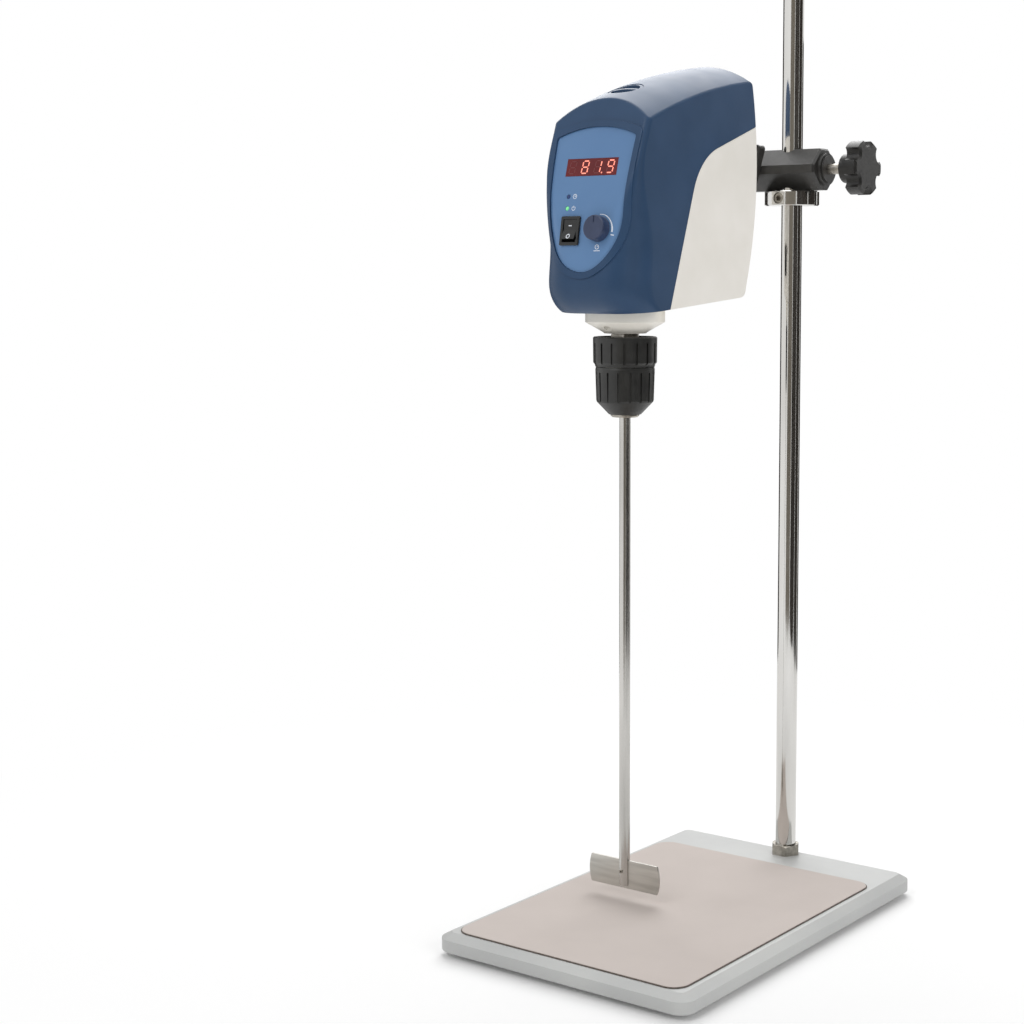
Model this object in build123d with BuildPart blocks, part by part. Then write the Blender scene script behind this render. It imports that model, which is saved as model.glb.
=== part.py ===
from build123d import *
import os
from math import asin, atan, cos, hypot, radians, sin, sqrt, tan

# Overhead laboratory stirrer: plate stand with a steel rod, a cross clamp, a drive head whose
# hollow spindle carries a keyless chuck, and a straight-blade stirring shaft.
# Millimetres. +Z is up, the origin is on the bench under the middle of the base plate,
# -Y is the operator's side and +X is the right-hand side as the operator sees it.

# ---------------------------------------------------------------- fits shared by every piece
running_fit = 0.05        # radial gap of a shaft in its hole
easy_fit = 0.3            # gap where a piece drops into a pocket
part_line = 0.25          # gap between two mouldings that meet

# ---------------------------------------------------------------- stand
plate_width = 210.0
plate_length = 316.0
plate_thick = 13.0
plate_corner = 12.0
plate_bevel_in = 7.0
plate_bevel_down = 4.0
foot_radius = 9.0
foot_height = 4.0
foot_inset = 24.0
foot_screw_radius = 1.6
mat_width = 188.0
mat_thick = 1.2
mat_corner = 12.0
mat_front_margin = 8.5    # plate edge to mat edge at the front
mat_rear_margin = 46.0    # the same behind, which leaves the rod its own strip
rod_radius = 8.0
rod_length = 800.0
rod_rear_margin = 14.0    # rod axis to the plate's rear edge
rod_nut_flats = 20.5
rod_nut_height = 8.0
base_screw_radius = 4.0
base_screw_grip = 20.0    # how far the screw runs up inside the rod
base_screw_head_radius = 6.5
base_screw_head_height = 5.0
base_washer_radius = 8.0
base_washer_thick = 1.6

# ---------------------------------------------------------------- cross clamp
ring_radius = 21.0
ring_height = 11.3
ring_under = 526.0        # underside of the stop ring
ring_slit = 2.2
ring_screw_radius = 4.2
boss_half_height = 15.5
boss_half_depth = 17.8
boss_flat = 6.0           # half width of the top and bottom flats
boss_land = 3.2           # half height of the front and rear lands
boss_reach = 28.7         # bore axis to the end of the octagon
nose_radius = 12.0
nose_length = 2.5
neck_radius = 10.2
neck_length = 1.4
cross_offset = 38.0       # sideways distance of rod and arm
clamp_screw_radius = 4.0
clamp_pad_thick = 2.0
clamp_screw_show = 12.8   # bare screw between boss and knob
knob_hub_radius = 10.9
knob_hub_length = 8.6
knob_lobe_radius = 20.5
knob_lobe_length = 12.0
knob_lobes = 6
knob_scallop_radius = 5.4
jaw_plate_thick = 8.0
jaw_plate_rise = 3.4      # how far the serrated jaw stands above the boss
jaw_half_top = 25.4
jaw_half_bottom = 16.0
arm_radius = 8.0
arm_tail = 4.0            # arm beyond the boss

# ---------------------------------------------------------------- head
shaft_setback = 167.5     # rod axis to spindle axis
head_half = 41.0
head_wall = 3.0
head_low = 446.0          # lowest loft section, under the sloping bottom
head_high = 640.0         # highest loft section, above the crown
front_arc_radius = 400.0  # the front leans back along this arc
front_arc_level = 440.0   # height where that arc is upright
front_arc_y = -78.7       # its place there
chin_level = 470.0        # below this the front tucks under
chin_height = 25.0
chin_depth = 29.0
corner_top_radius = 4.0   # plan radius of the front corners, high and low
corner_low_radius = 28.0
corner_high_level = 556.0
corner_low_level = 484.0
ridge_front = (-59.5, 576.4)   # the line where side and crown meet, in side view
ridge_rear = (78.8, 614.4)
ridge_bow = 4.9
crown_rise = 13.5
rear_low = (73.1, 464.3)
rear_bow = (86.9, 539.3)
rear_high = (74.9, 633.0)
bottom_front_level = 447.0
bottom_slope = 4.6        # degrees, the underside rises to the rear
bottom_corner = 7.0
seam_low = (-28.4, 444.0)      # side view of the line between the two mouldings
seam_turn = (10.6, 556.1)
seam_high = (99.0, 586.8)
seam_radius = 50.0
ridge_round = 3.0

# ---------------------------------------------------------------- control panel
panel_sink = 0.4
panel_thick = 1.0
panel_half = 33.6
panel_shoulder = 569.0    # level of the top corners
panel_crest = 576.0
panel_waist = 520.0       # below this the outline closes in a round end
panel_waist_half = 31.4
panel_foot = 475.6
bezel_width = 4.6
bezel_rise = 1.0
window_width = 43.3
window_height = 12.5
window_level = 548.0
led_x = -16.3
led_levels = (527.8, 519.7)
led_radius = 1.5
switch_x = -11.2
switch_level = 504.0
switch_width = 16.4
switch_height = 20.4
switch_rim = 1.6
switch_depth = 10.5
rocker_width = 11.0
rocker_half_height = 7.0
rocker_peak = 5.9           # pivot to the raised ends of its face
rocker_dip = 4.6            # pivot to the middle of its face
rocker_back = 1.8
rocker_pin_radius = 1.2
rocker_pin_reach = 1.0
rocker_well = 1.0           # room over each end of the rocker as it tilts
rocker_pivot_depth = 4.0
rocker_tilt = 9.0
knob_x = 13.5
knob_level = 505.0
speed_knob_radius = 9.0
speed_knob_height = 7.0
encoder_shaft_radius = 3.0
encoder_bush_radius = 3.6
board_depth = 12.0
board_thick = 1.6
board_level = 523.0
board_half_width = 27.0
board_half_height = 33.0

# ---------------------------------------------------------------- drive
chassis_top = 520.0
chassis_thick = 4.0
chassis_half = 31.0
chassis_front = -45.0
chassis_rear = 74.0
arm_block_half = 17.0
arm_block_front = 52.0
arm_block_rise = 21.0     # block above the arm's axis
tube_radius = 22.0
bearing_radius = 16.0
bearing_width = 9.0
bearing_shoulder = 13.5
spindle_radius = 7.5
spindle_bore = 4.3
spindle_top = 560.0
spindle_flange_radius = 9.6
pulley_level = 524.0
belt_width = 8.0
belt_thick = 1.5
spindle_pulley_radius = 20.0
motor_pulley_radius = 11.0
pulley_flange = 2.4
pulley_flange_thick = 1.6
motor_radius = 25.0
motor_height = 50.0
motor_setback = 59.5      # motor axis behind the spindle axis
motor_shaft_radius = 4.0
collar_radius = 28.5
collar_under = 432.3
collar_step = 440.0
collar_cone_radius = 27.0
collar_nose_radius = 15.8
collar_top = 452.0
inlet_level = 485.0
inlet_width = 27.0
inlet_height = 19.5
inlet_flange = 2.6
inlet_depth = 17.0
inlet_cavity_depth = 14.0
inlet_pin_length = 8.5
port_radius = 12.6
port_gap = 0.2
port_stem_radius = 8.5
port_stem_length = 12.0

# ---------------------------------------------------------------- chuck and stirring shaft
chuck_under = 372.5
chuck_back = 427.5
chuck_rim = 430.0
chuck_seam = 408.3
chuck_seam_gap = 0.4
chuck_core_radius = 17.25
rear_sleeve_radius = 23.0
front_sleeve_radius = 21.3
front_sleeve_low_radius = 20.6
sleeve_cone_level = 384.0
sleeve_nose_level = 374.5
sleeve_nose_radius = 11.6
sleeve_groove_width = 1.7
sleeve_groove_depth = 1.2
sleeve_grooves = 16
jaw_angle = 15.0
jaw_radius = 3.2
jaw_tip_offset = 5.0      # jaw axis to chuck axis at the nose
jaw_length = 27.0
nut_ring_low = 391.0
nut_ring_height = 6.0
stir_radius = 4.0
stir_length = 400.0
stir_foot = 28.0
blade_length = 62.0
blade_height = 21.0
blade_thick = 1.5
blade_foot = 26.0

# ---------------------------------------------------------------- places worked out from these
plate_under = foot_height
plate_top = plate_under + plate_thick
mat_top = plate_top + mat_thick
rod_y = plate_length / 2 - rod_rear_margin
rod_top = plate_top + rod_length
ring_top = ring_under + ring_height
arm_z = ring_top + easy_fit + boss_half_height
head_x = -cross_offset
shaft_y = rod_y - shaft_setback
motor_y = shaft_y + motor_setback
arm_end = rod_y + boss_half_depth + arm_tail
chassis_under = chassis_top - chassis_thick

os.makedirs("parts", exist_ok=True)


def save(piece, name):
    piece.label = name
    export_step(piece, f"parts/{name}.step")


def socket_screw(plane, shank_radius, shank_length, head_radius, head_height, socket_flats):
    """Screw whose head stands on the plane and whose shank runs along the plane's -Z."""
    with BuildPart() as screw:
        with BuildSketch(plane):
            Circle(head_radius)
        extrude(amount=head_height)
        with BuildSketch(plane):
            Circle(shank_radius)
        extrude(amount=-shank_length)
        with BuildSketch(plane.offset(head_height)):
            RegularPolygon(radius=socket_flats / 2, side_count=6, major_radius=False)
        extrude(amount=-head_height * 0.6, mode=Mode.SUBTRACT)
    return screw.part


# ================================================================ base plate
foot_x = plate_width / 2 - foot_inset
foot_y = plate_length / 2 - foot_inset
foot_places = [(x, y) for x in (-foot_x, foot_x) for y in (-foot_y, foot_y)]
base_counterbore_depth = base_screw_head_height + base_washer_thick + 1.0
base_counterbore_top = plate_under + base_counterbore_depth

with BuildPart() as base_plate:
    with BuildSketch(Plane.XY.offset(plate_under)):
        RectangleRounded(plate_width, plate_length, plate_corner)
    extrude(amount=plate_thick)
    top_face = base_plate.faces().sort_by(Axis.Z)[-1]
    chamfer(top_face.edges(), length=plate_bevel_in, length2=plate_bevel_down, reference=top_face)
    low_face = base_plate.faces().sort_by(Axis.Z)[0]
    chamfer(low_face.edges(), length=0.8)
    with BuildSketch(Plane.XY.offset(plate_under)):
        with Locations((0, rod_y)):
            Circle(base_washer_radius + easy_fit)
    extrude(amount=base_counterbore_depth, mode=Mode.SUBTRACT)
    with BuildSketch(Plane.XY.offset(plate_under)):
        with Locations((0, rod_y)):
            Circle(base_screw_radius + 0.2)
    extrude(amount=plate_thick, mode=Mode.SUBTRACT)
    with BuildSketch(Plane.XY.offset(plate_under)):
        with Locations(*foot_places):
            Circle(foot_screw_radius)
    extrude(amount=plate_thick * 0.6, mode=Mode.SUBTRACT)
save(base_plate.part, "base_plate")

# ================================================================ rubber feet and their screws
foot_head_radius = 3.2
foot_head_height = 1.6
with BuildPart() as base_feet:
    with BuildSketch(Plane.XY.offset(foot_height)):
        with Locations(*foot_places):
            Circle(foot_radius)
    extrude(amount=-foot_height, taper=8)
    with BuildSketch(Plane.XY):
        with Locations(*foot_places):
            Circle(foot_head_radius + easy_fit)
    extrude(amount=foot_height * 0.6, mode=Mode.SUBTRACT)
    with BuildSketch(Plane.XY):
        with Locations(*foot_places):
            Circle(foot_screw_radius)
    extrude(amount=foot_height, mode=Mode.SUBTRACT)
save(base_feet.part, "base_feet")

foot_screw_level = foot_height * 0.6
with BuildPart() as foot_screws:
    with BuildSketch(Plane.XY.offset(foot_screw_level)):
        with Locations(*foot_places):
            Circle(foot_head_radius)
    extrude(amount=-foot_head_height)
    with BuildSketch(Plane.XY.offset(foot_screw_level)):
        with Locations(*foot_places):
            Circle(foot_screw_radius)
    extrude(amount=foot_height + plate_thick * 0.4)
save(foot_screws.part, "foot_screws")

# ================================================================ mat on the plate
mat_length = plate_length - mat_front_margin - mat_rear_margin
mat_y = (mat_front_margin - mat_rear_margin) / 2
with BuildPart() as base_mat:
    with BuildSketch(Plane.XY.offset(plate_top)):
        with Locations((0, mat_y)):
            RectangleRounded(mat_width, mat_length, mat_corner)
    extrude(amount=mat_thick)
    chamfer(base_mat.faces().sort_by(Axis.Z)[-1].edges(), length=0.3)
save(base_mat.part, "base_mat")

# ================================================================ rod, its nut and the screw below
with BuildPart() as stand_rod:
    with BuildSketch(Plane.XY.offset(plate_top)):
        with Locations((0, rod_y)):
            Circle(rod_radius)
    extrude(amount=rod_length)
    chamfer(stand_rod.faces().sort_by(Axis.Z)[-1].edges(), length=1.0)
    with BuildSketch(Plane.XY.offset(plate_top)):
        with Locations((0, rod_y)):
            Circle(base_screw_radius)
    extrude(amount=base_screw_grip + 2, mode=Mode.SUBTRACT)
save(stand_rod.part, "stand_rod")

with BuildPart() as rod_nut:
    with BuildSketch(Plane.XY.offset(plate_top)):
        with Locations((0, rod_y)):
            RegularPolygon(radius=rod_nut_flats / 2, side_count=6, major_radius=False)
            Circle(rod_radius + running_fit, mode=Mode.SUBTRACT)
    extrude(amount=rod_nut_height)
    with BuildSketch(Plane.XY.offset(plate_top)):
        with Locations((0, rod_y)):
            Circle(rod_nut_flats / 2 + rod_nut_height * 1.6)
    extrude(amount=rod_nut_height, taper=58, mode=Mode.INTERSECT)
save(rod_nut.part, "rod_nut")

base_washer_top = base_counterbore_top
base_washer_under = base_washer_top - base_washer_thick
with BuildPart() as rod_base_washer:
    with BuildSketch(Plane.XY.offset(base_washer_under)):
        with Locations((0, rod_y)):
            Circle(base_washer_radius)
            Circle(base_screw_radius + 0.2, mode=Mode.SUBTRACT)
    extrude(amount=base_washer_thick)
save(rod_base_washer.part, "rod_base_washer")

base_screw_plane = Plane((0, rod_y, base_washer_under), x_dir=(1, 0, 0), z_dir=(0, 0, -1))
rod_base_screw = socket_screw(
    base_screw_plane,
    base_screw_radius - running_fit,
    plate_top - base_washer_under + base_screw_grip,
    base_screw_head_radius,
    base_screw_head_height,
    5.0,
)
save(rod_base_screw, "rod_base_screw")

# ================================================================ stop ring and its screw
# A turned ring, slit on its right side, pinched on the rod by a radial screw in front.
ring_screw_z = ring_under + ring_height / 2
ring_screw_head_y = rod_y - ring_radius + 1.2
ring_screw_length = ring_radius - 1.2 - rod_radius - running_fit
with BuildPart() as stop_ring:
    with BuildSketch(Plane.XY.offset(ring_under)):
        with Locations((0, rod_y)):
            Circle(ring_radius)
            Circle(rod_radius + running_fit, mode=Mode.SUBTRACT)
        with Locations((ring_radius / 2 + rod_radius / 2, rod_y)):
            Rectangle(ring_radius, ring_slit, mode=Mode.SUBTRACT)
    extrude(amount=ring_height)
    rims = stop_ring.faces().filter_by(Axis.Z)
    outer_rims = [edge for face in rims for edge in face.outer_wire().edges()
                  if edge.geom_type == GeomType.CIRCLE and edge.radius > ring_radius - 0.1]
    chamfer(outer_rims, length=0.7)
    with BuildSketch(Plane((0, rod_y - ring_radius, ring_screw_z), x_dir=(1, 0, 0), z_dir=(0, -1, 0))):
        Circle(ring_screw_radius)
    extrude(amount=-ring_radius, mode=Mode.SUBTRACT)
save(stop_ring.part, "stop_ring")

with BuildPart() as stop_ring_screw:
    ring_screw_plane = Plane((0, ring_screw_head_y, ring_screw_z), x_dir=(1, 0, 0), z_dir=(0, -1, 0))
    with BuildSketch(ring_screw_plane):
        Circle(ring_screw_radius - running_fit)
    extrude(amount=-ring_screw_length)
    chamfer(stop_ring_screw.edges().sort_by(Axis.Y)[0], length=0.5)
    with BuildSketch(ring_screw_plane):
        RegularPolygon(radius=2.0, side_count=6, major_radius=False)
    extrude(amount=-3.5, mode=Mode.SUBTRACT)
save(stop_ring_screw.part, "stop_ring_screw")

# ================================================================ cross clamp body
# An eight-sided bar. The rod passes upright through one end, the arm level through the other,
# and a screw comes in along the bar's axis from each end.
boss_left = head_x - boss_reach
boss_profile = [
    (boss_flat, boss_half_height),
    (boss_half_depth, boss_land),
    (boss_half_depth, -boss_land),
    (boss_flat, -boss_half_height),
    (-boss_flat, -boss_half_height),
    (-boss_half_depth, -boss_land),
    (-boss_half_depth, boss_land),
    (-boss_flat, boss_half_height),
]
right_nose = boss_reach + nose_length
left_nose = boss_left - nose_length
right_neck = right_nose + neck_length
left_neck = left_nose - neck_length


def across(x):
    """Upright plane that faces +X at the clamp's own axis."""
    return Plane((x, rod_y, arm_z), x_dir=(0, 1, 0), z_dir=(1, 0, 0))


with BuildPart() as clamp_boss:
    with BuildSketch(across(boss_left)):
        with BuildLine():
            Polyline(*boss_profile, close=True)
        make_face()
    extrude(amount=boss_reach - boss_left)
    chamfer(clamp_boss.faces().filter_by(Axis.X).edges(), length=1.4)
    with BuildSketch(across(left_nose)):
        Circle(nose_radius)
    extrude(amount=right_nose - left_nose)
    with BuildSketch(across(left_neck)):
        Circle(neck_radius)
    extrude(amount=right_neck - left_neck)
    with BuildSketch(Plane.XY.offset(ring_top)):
        with Locations((0, rod_y)):
            Circle(rod_radius + running_fit)
    extrude(amount=3 * boss_half_height, mode=Mode.SUBTRACT)
    with BuildSketch(Plane.XZ.offset(-rod_y - boss_half_depth - 1)):
        with Locations((head_x, arm_z)):
            Circle(arm_radius + running_fit)
    extrude(amount=2 * boss_half_depth + 2, mode=Mode.SUBTRACT)
    with BuildSketch(across(0)):
        Circle(clamp_screw_radius + running_fit)
    extrude(amount=right_neck + 1, mode=Mode.SUBTRACT)
    with BuildSketch(across(head_x)):
        Circle(clamp_screw_radius + running_fit)
    extrude(amount=left_neck - head_x - 1, mode=Mode.SUBTRACT)
save(clamp_boss.part, "clamp_boss")

# ================================================================ serrated jaw in front of the clamp
# A cast plate on the clamp's front land that the arm passes through: wide above, narrow below,
# ribbed along both slanting sides.
jaw_face_y = rod_y - boss_half_depth
jaw_top_z = arm_z + boss_half_height + jaw_plate_rise
jaw_bottom_z = arm_z - boss_half_height
jaw_rib_step = 2.6
jaw_slant = atan((jaw_half_top - jaw_half_bottom) / (jaw_top_z - jaw_bottom_z))
with BuildPart() as arm_jaw:
    with BuildSketch(Plane.XZ.offset(-jaw_face_y)):
        with BuildLine():
            Polyline(
                (head_x - jaw_half_top, jaw_top_z),
                (head_x + jaw_half_top, jaw_top_z),
                (head_x + jaw_half_bottom, jaw_bottom_z),
                (head_x - jaw_half_bottom, jaw_bottom_z),
                close=True,
            )
        make_face()
        with Locations((head_x, arm_z)):
            Circle(arm_radius + running_fit, mode=Mode.SUBTRACT)
    extrude(amount=jaw_plate_thick)
    fillet(arm_jaw.edges().filter_by(Axis.Y).sort_by(Axis.Z)[-2:], radius=3.0)
    slanted = arm_jaw.faces().sort_by(Axis.Y)[0]
    chamfer(slanted.outer_wire().edges(), length=1.0)
    for side in (-1, 1):
        for rib in range(1, 5):
            rib_x = head_x + side * ((jaw_half_top + jaw_half_bottom) / 2 - rib * jaw_rib_step)
            groove_plane = Plane(
                (rib_x, jaw_face_y - jaw_plate_thick, (jaw_top_z + jaw_bottom_z) / 2),
                x_dir=(cos(jaw_slant), 0, -side * sin(jaw_slant)),
                z_dir=(0, -1, 0),
            )
            with BuildSketch(groove_plane):
                Rectangle(1.1, 2 * (jaw_top_z - jaw_bottom_z))
            extrude(amount=-0.9, mode=Mode.SUBTRACT)
save(arm_jaw.part, "arm_jaw")


# ================================================================ clamp pads, screws and star knobs
def clamp_set(start_x, neck_x, direction, prefix):
    """Pad, screw and star knob on the clamp's axis, from the gripped rod outwards."""
    pad_start = start_x + direction * running_fit
    pad_end = pad_start + direction * clamp_pad_thick
    hub_start = neck_x + direction * clamp_screw_show
    lobe_start = hub_start + direction * knob_hub_length
    facing = (direction, 0, 0)

    def outward(x):
        return Plane((x, rod_y, arm_z), x_dir=(0, 1, 0), z_dir=facing)

    with BuildPart() as pad:
        with BuildSketch(outward(pad_start)):
            Circle(clamp_screw_radius - 0.2)
        extrude(amount=clamp_pad_thick)
    save(pad.part, f"{prefix}_clamp_pad")

    with BuildPart() as screw:
        with BuildSketch(outward(pad_end)):
            Circle(clamp_screw_radius)
        extrude(amount=abs(lobe_start - pad_end))
        chamfer(screw.edges().sort_by(Axis.X)[0 if direction > 0 else -1], length=0.6)
    save(screw.part, f"{prefix}_clamp_screw")

    with BuildPart() as knob:
        with BuildSketch(outward(hub_start)):
            Circle(knob_hub_radius)
        extrude(amount=knob_hub_length)
        hub_face = knob.faces().sort_by(Axis.X)[0 if direction > 0 else -1]
        fillet(hub_face.edges(), radius=1.2)
        with BuildSketch(outward(lobe_start)):
            Circle(knob_lobe_radius)
            with PolarLocations(knob_lobe_radius, knob_lobes, start_angle=180 / knob_lobes):
                Circle(knob_scallop_radius, mode=Mode.SUBTRACT)
        extrude(amount=knob_lobe_length)
        end_face = knob.faces().filter_by(Axis.X).sort_by(Axis.X)[-1 if direction > 0 else 0]
        chamfer(end_face.edges(), length=1.6)
        with BuildSketch(outward(hub_start)):
            Circle(clamp_screw_radius)
        extrude(amount=knob_hub_length, mode=Mode.SUBTRACT)
    save(knob.part, f"{prefix}_clamp_knob")


clamp_set(rod_radius, right_neck, 1, "rod")
clamp_set(head_x - arm_radius, left_neck, -1, "arm")

# ================================================================ form of the head
# Level sections, lofted: a flat front that leans back, with front corners that are crisp beside
# the panel and open out to wide rounds below it. The sloping underside, the bowed rear and the
# arched crown are cut from that. Every shell of the head is the difference of two such forms.


def front_y(z):
    """Place of the front at a level, on its middle line."""
    lean = front_arc_y + front_arc_radius - sqrt(front_arc_radius**2 - (z - front_arc_level) ** 2)
    if z >= chin_level:
        return lean
    drop = (chin_level - z) / chin_height
    return lean + chin_depth * (1 - sqrt(1 - drop**2))


def corner_radius(z):
    """Plan radius of the front corners at a level."""
    share = (z - corner_low_level) / (corner_high_level - corner_low_level)
    share = min(1.0, max(0.0, share))
    smooth = share * share * (3 - 2 * share)
    return corner_low_radius + (corner_top_radius - corner_low_radius) * smooth


def front_plane(x, z, depth=0.0):
    """Plane lying on the leaning front, facing out, or that far inside it."""
    lean = asin((z - front_arc_level) / front_arc_radius)
    outward = (0, -cos(lean), sin(lean))
    face = Plane((head_x + x, front_y(z), z), x_dir=(1, 0, 0), z_dir=outward)
    return face.offset(-depth)


ridge_middle = ((ridge_front[0] + ridge_rear[0]) / 2, (ridge_front[1] + ridge_rear[1]) / 2)
ridge_chord = hypot(ridge_rear[0] - ridge_front[0], ridge_rear[1] - ridge_front[1])
ridge_pitch = atan((ridge_rear[1] - ridge_front[1]) / (ridge_rear[0] - ridge_front[0]))
ridge_radius = (ridge_chord**2 / 4 + ridge_bow**2) / (2 * ridge_bow)
ridge_drop = ridge_radius - ridge_bow
ridge_centre_y = ridge_middle[0] + ridge_drop * sin(ridge_pitch)
ridge_centre_z = ridge_middle[1] - ridge_drop * cos(ridge_pitch)
crown_radius = (head_half**2 + crown_rise**2) / (2 * crown_rise)
head_rear_limit = rear_bow[0] + 20
head_levels = (head_low, 450, 455, 462, 470, 480, 491, 503, 516, 529, 542, 556, 584, 612, head_high)


def crown_level(x, y):
    """Height of the crown over a point of the plan."""
    sink = crown_radius - sqrt(crown_radius**2 - x**2)
    reach = ridge_radius + crown_rise - sink
    return ridge_centre_z + sqrt(reach**2 - (y - ridge_centre_y) ** 2)


def head_form(inset):
    """The head's outer form, drawn in by the inset on every side."""
    half = head_half - inset
    side_room = head_half + 5
    with BuildPart() as form:
        for level in head_levels:
            front = front_y(level) + inset
            corner = max(corner_radius(level) - inset, 1.0)
            bevel = corner * (1 - sqrt(0.5))
            left, right = head_x - half, head_x + half
            with BuildSketch(Plane.XY.offset(level)):
                with BuildLine():
                    Line((left, head_rear_limit), (left, front + corner))
                    ThreePointArc((left, front + corner), (left + bevel, front + bevel), (left + corner, front))
                    Line((left + corner, front), (right - corner, front))
                    ThreePointArc(
                        (right - corner, front), (right - bevel, front + bevel), (right, front + corner)
                    )
                    Line((right, front + corner), (right, head_rear_limit))
                    Line((right, head_rear_limit), (left, head_rear_limit))
                make_face()
        loft()
        rise = tan(radians(bottom_slope))
        far_front = front_arc_y - 20
        with BuildSketch(Plane.YZ.offset(head_x - side_room)) as side_view:
            with BuildLine():
                under_front = (far_front, bottom_front_level + inset + rise * (far_front - front_y(head_low)))
                under_rear_y = rear_low[0] - inset - 0.6
                under_rear = (under_rear_y, bottom_front_level + inset + rise * (under_rear_y - front_y(head_low)))
                Line(under_front, under_rear)
                Line(under_rear, (rear_low[0] - inset, rear_low[1]))
                ThreePointArc(
                    (rear_low[0] - inset, rear_low[1]),
                    (rear_bow[0] - inset, rear_bow[1]),
                    (rear_high[0] - inset, rear_high[1]),
                )
                Line((rear_high[0] - inset, rear_high[1]), (rear_high[0] - inset, head_high + 10))
                Line((rear_high[0] - inset, head_high + 10), (far_front, head_high + 10))
                Line((far_front, head_high + 10), under_front)
            make_face()
            low_rear_corner = side_view.vertices().sort_by_distance(under_rear)[0]
            fillet(low_rear_corner, radius=max(bottom_corner - inset, 1.0))
        extrude(amount=2 * side_room, mode=Mode.INTERSECT)
        # the crown is a wide arch turned about a level axis far below
        arch_half = crown_radius * 0.75
        arch_sink = crown_radius - sqrt(crown_radius**2 - arch_half**2)
        crown = ridge_radius + crown_rise - inset
        axis_point = (head_x, ridge_centre_y, ridge_centre_z)
        with BuildSketch(Plane(axis_point, x_dir=(1, 0, 0), z_dir=(0, -1, 0))):
            with BuildLine():
                ThreePointArc((-arch_half, crown - arch_sink), (0, crown), (arch_half, crown - arch_sink))
                Line((arch_half, crown - arch_sink), (arch_half, ridge_radius / 2))
                Line((arch_half, ridge_radius / 2), (-arch_half, ridge_radius / 2))
                Line((-arch_half, ridge_radius / 2), (-arch_half, crown - arch_sink))
            make_face()
        revolve(axis=Axis(axis_point, (1, 0, 0)), mode=Mode.INTERSECT)
    return form.part


with BuildPart() as outer_skin:
    add(head_form(0))
    crown_face = outer_skin.faces().sort_by(Axis.Z)[-1]
    fillet(crown_face.edges(), radius=ridge_round)
with BuildPart() as inner_room:
    add(head_form(head_wall))
with BuildPart() as panel_seat:
    add(head_form(panel_sink + panel_thick))
with BuildPart() as panel_skin:
    add(head_form(panel_sink))
with BuildPart() as bezel_skin:
    add(head_form(-bezel_rise))


def panel_outline(grow):
    """Shield outline in front view: arched top, straight sides, round foot."""
    half = panel_half + grow
    waist = panel_waist_half + grow
    top = panel_shoulder + grow
    foot_depth = panel_waist - panel_foot + grow
    with BuildSketch(Plane.XZ) as outline:
        with BuildLine():
            ThreePointArc(
                (head_x - half, top), (head_x, panel_crest + grow), (head_x + half, top)
            )
            Line((head_x + half, top), (head_x + waist, panel_waist))
            EllipticalCenterArc(
                (head_x, panel_waist), waist, foot_depth, start_angle=180, arc_size=180
            )
            Line((head_x - waist, panel_waist), (head_x - half, top))
        make_face()
        top_corners = outline.vertices().sort_by(Axis.Y)[-2:]
        fillet(top_corners, radius=2.5 + grow / 2)
    return outline.sketch


front_reach = 120.0       # length of the prisms cut through the front, along Y


def front_prism(sketch):
    """The outline carried through the front of the head along Y."""
    with BuildPart() as prism:
        extrude(sketch, amount=front_reach, dir=(0, -1, 0))
    return prism.part


with BuildPart() as rear_side:
    with BuildSketch(Plane.YZ.offset(head_x - head_half - 5)):
        with BuildLine():
            FilletPolyline(seam_low, seam_turn, seam_high, radius=seam_radius)
            Polyline(seam_high, (seam_high[0] + 30, seam_high[1]), (seam_high[0] + 30, seam_low[1]), seam_low)
        make_face()
    extrude(amount=2 * head_half + 10)
with BuildPart() as rear_side_cut:
    with BuildSketch(Plane.YZ.offset(head_x - head_half - 5)):
        with BuildLine():
            FilletPolyline(seam_low, seam_turn, seam_high, radius=seam_radius)
            Polyline(seam_high, (seam_high[0] + 30, seam_high[1]), (seam_high[0] + 30, seam_low[1]), seam_low)
        make_face()
        offset(amount=part_line, kind=Kind.INTERSECTION)
    extrude(amount=2 * head_half + 10)

# ================================================================ front housing
# Deep blue moulding: front, crown and the forward part of both sides.
port_centre = (head_x, shaft_y)
post_places = [(-24.0, 550.0), (24.0, 550.0), (24.0, 496.0)]
board_plane = front_plane(0, board_level, board_depth)
post_radius = 3.0
board_screw_radius = 1.2

port_floor = crown_level(port_radius, shaft_y - port_radius) - 2.0
port_wall = 3.0
window_ledge = 1.6
panel_gap = 0.15
switch_plane = front_plane(switch_x, switch_level)
switch_body_width = switch_width - 2 * switch_rim
switch_body_height = switch_height - 2 * switch_rim
window_plane = front_plane(0, window_level)
knob_plane = front_plane(knob_x, knob_level)
through_wall = head_wall + 2.0


def panel_holes(gap, window_inset):
    """Openings for window, switch, encoder bush and lamps, cut through panel or wall."""
    with BuildPart() as holes:
        with BuildSketch(window_plane.offset(2)):
            Rectangle(window_width - 2 * window_inset, window_height - 2 * window_inset)
        extrude(amount=-2 - through_wall)
        with BuildSketch(switch_plane.offset(2)):
            Rectangle(switch_body_width + 2 * gap, switch_body_height + 2 * gap)
        extrude(amount=-2 - through_wall)
        with BuildSketch(knob_plane.offset(2)):
            Circle(encoder_bush_radius + gap)
        extrude(amount=-2 - through_wall)
        for led_level in led_levels:
            with BuildSketch(front_plane(led_x, led_level, -2)):
                Circle(led_radius + gap)
            extrude(amount=-2 - through_wall)
    return holes.part


with BuildPart() as panel_pocket:
    add(front_prism(panel_outline(panel_gap)))
    add(panel_seat.part, mode=Mode.SUBTRACT)

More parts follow.
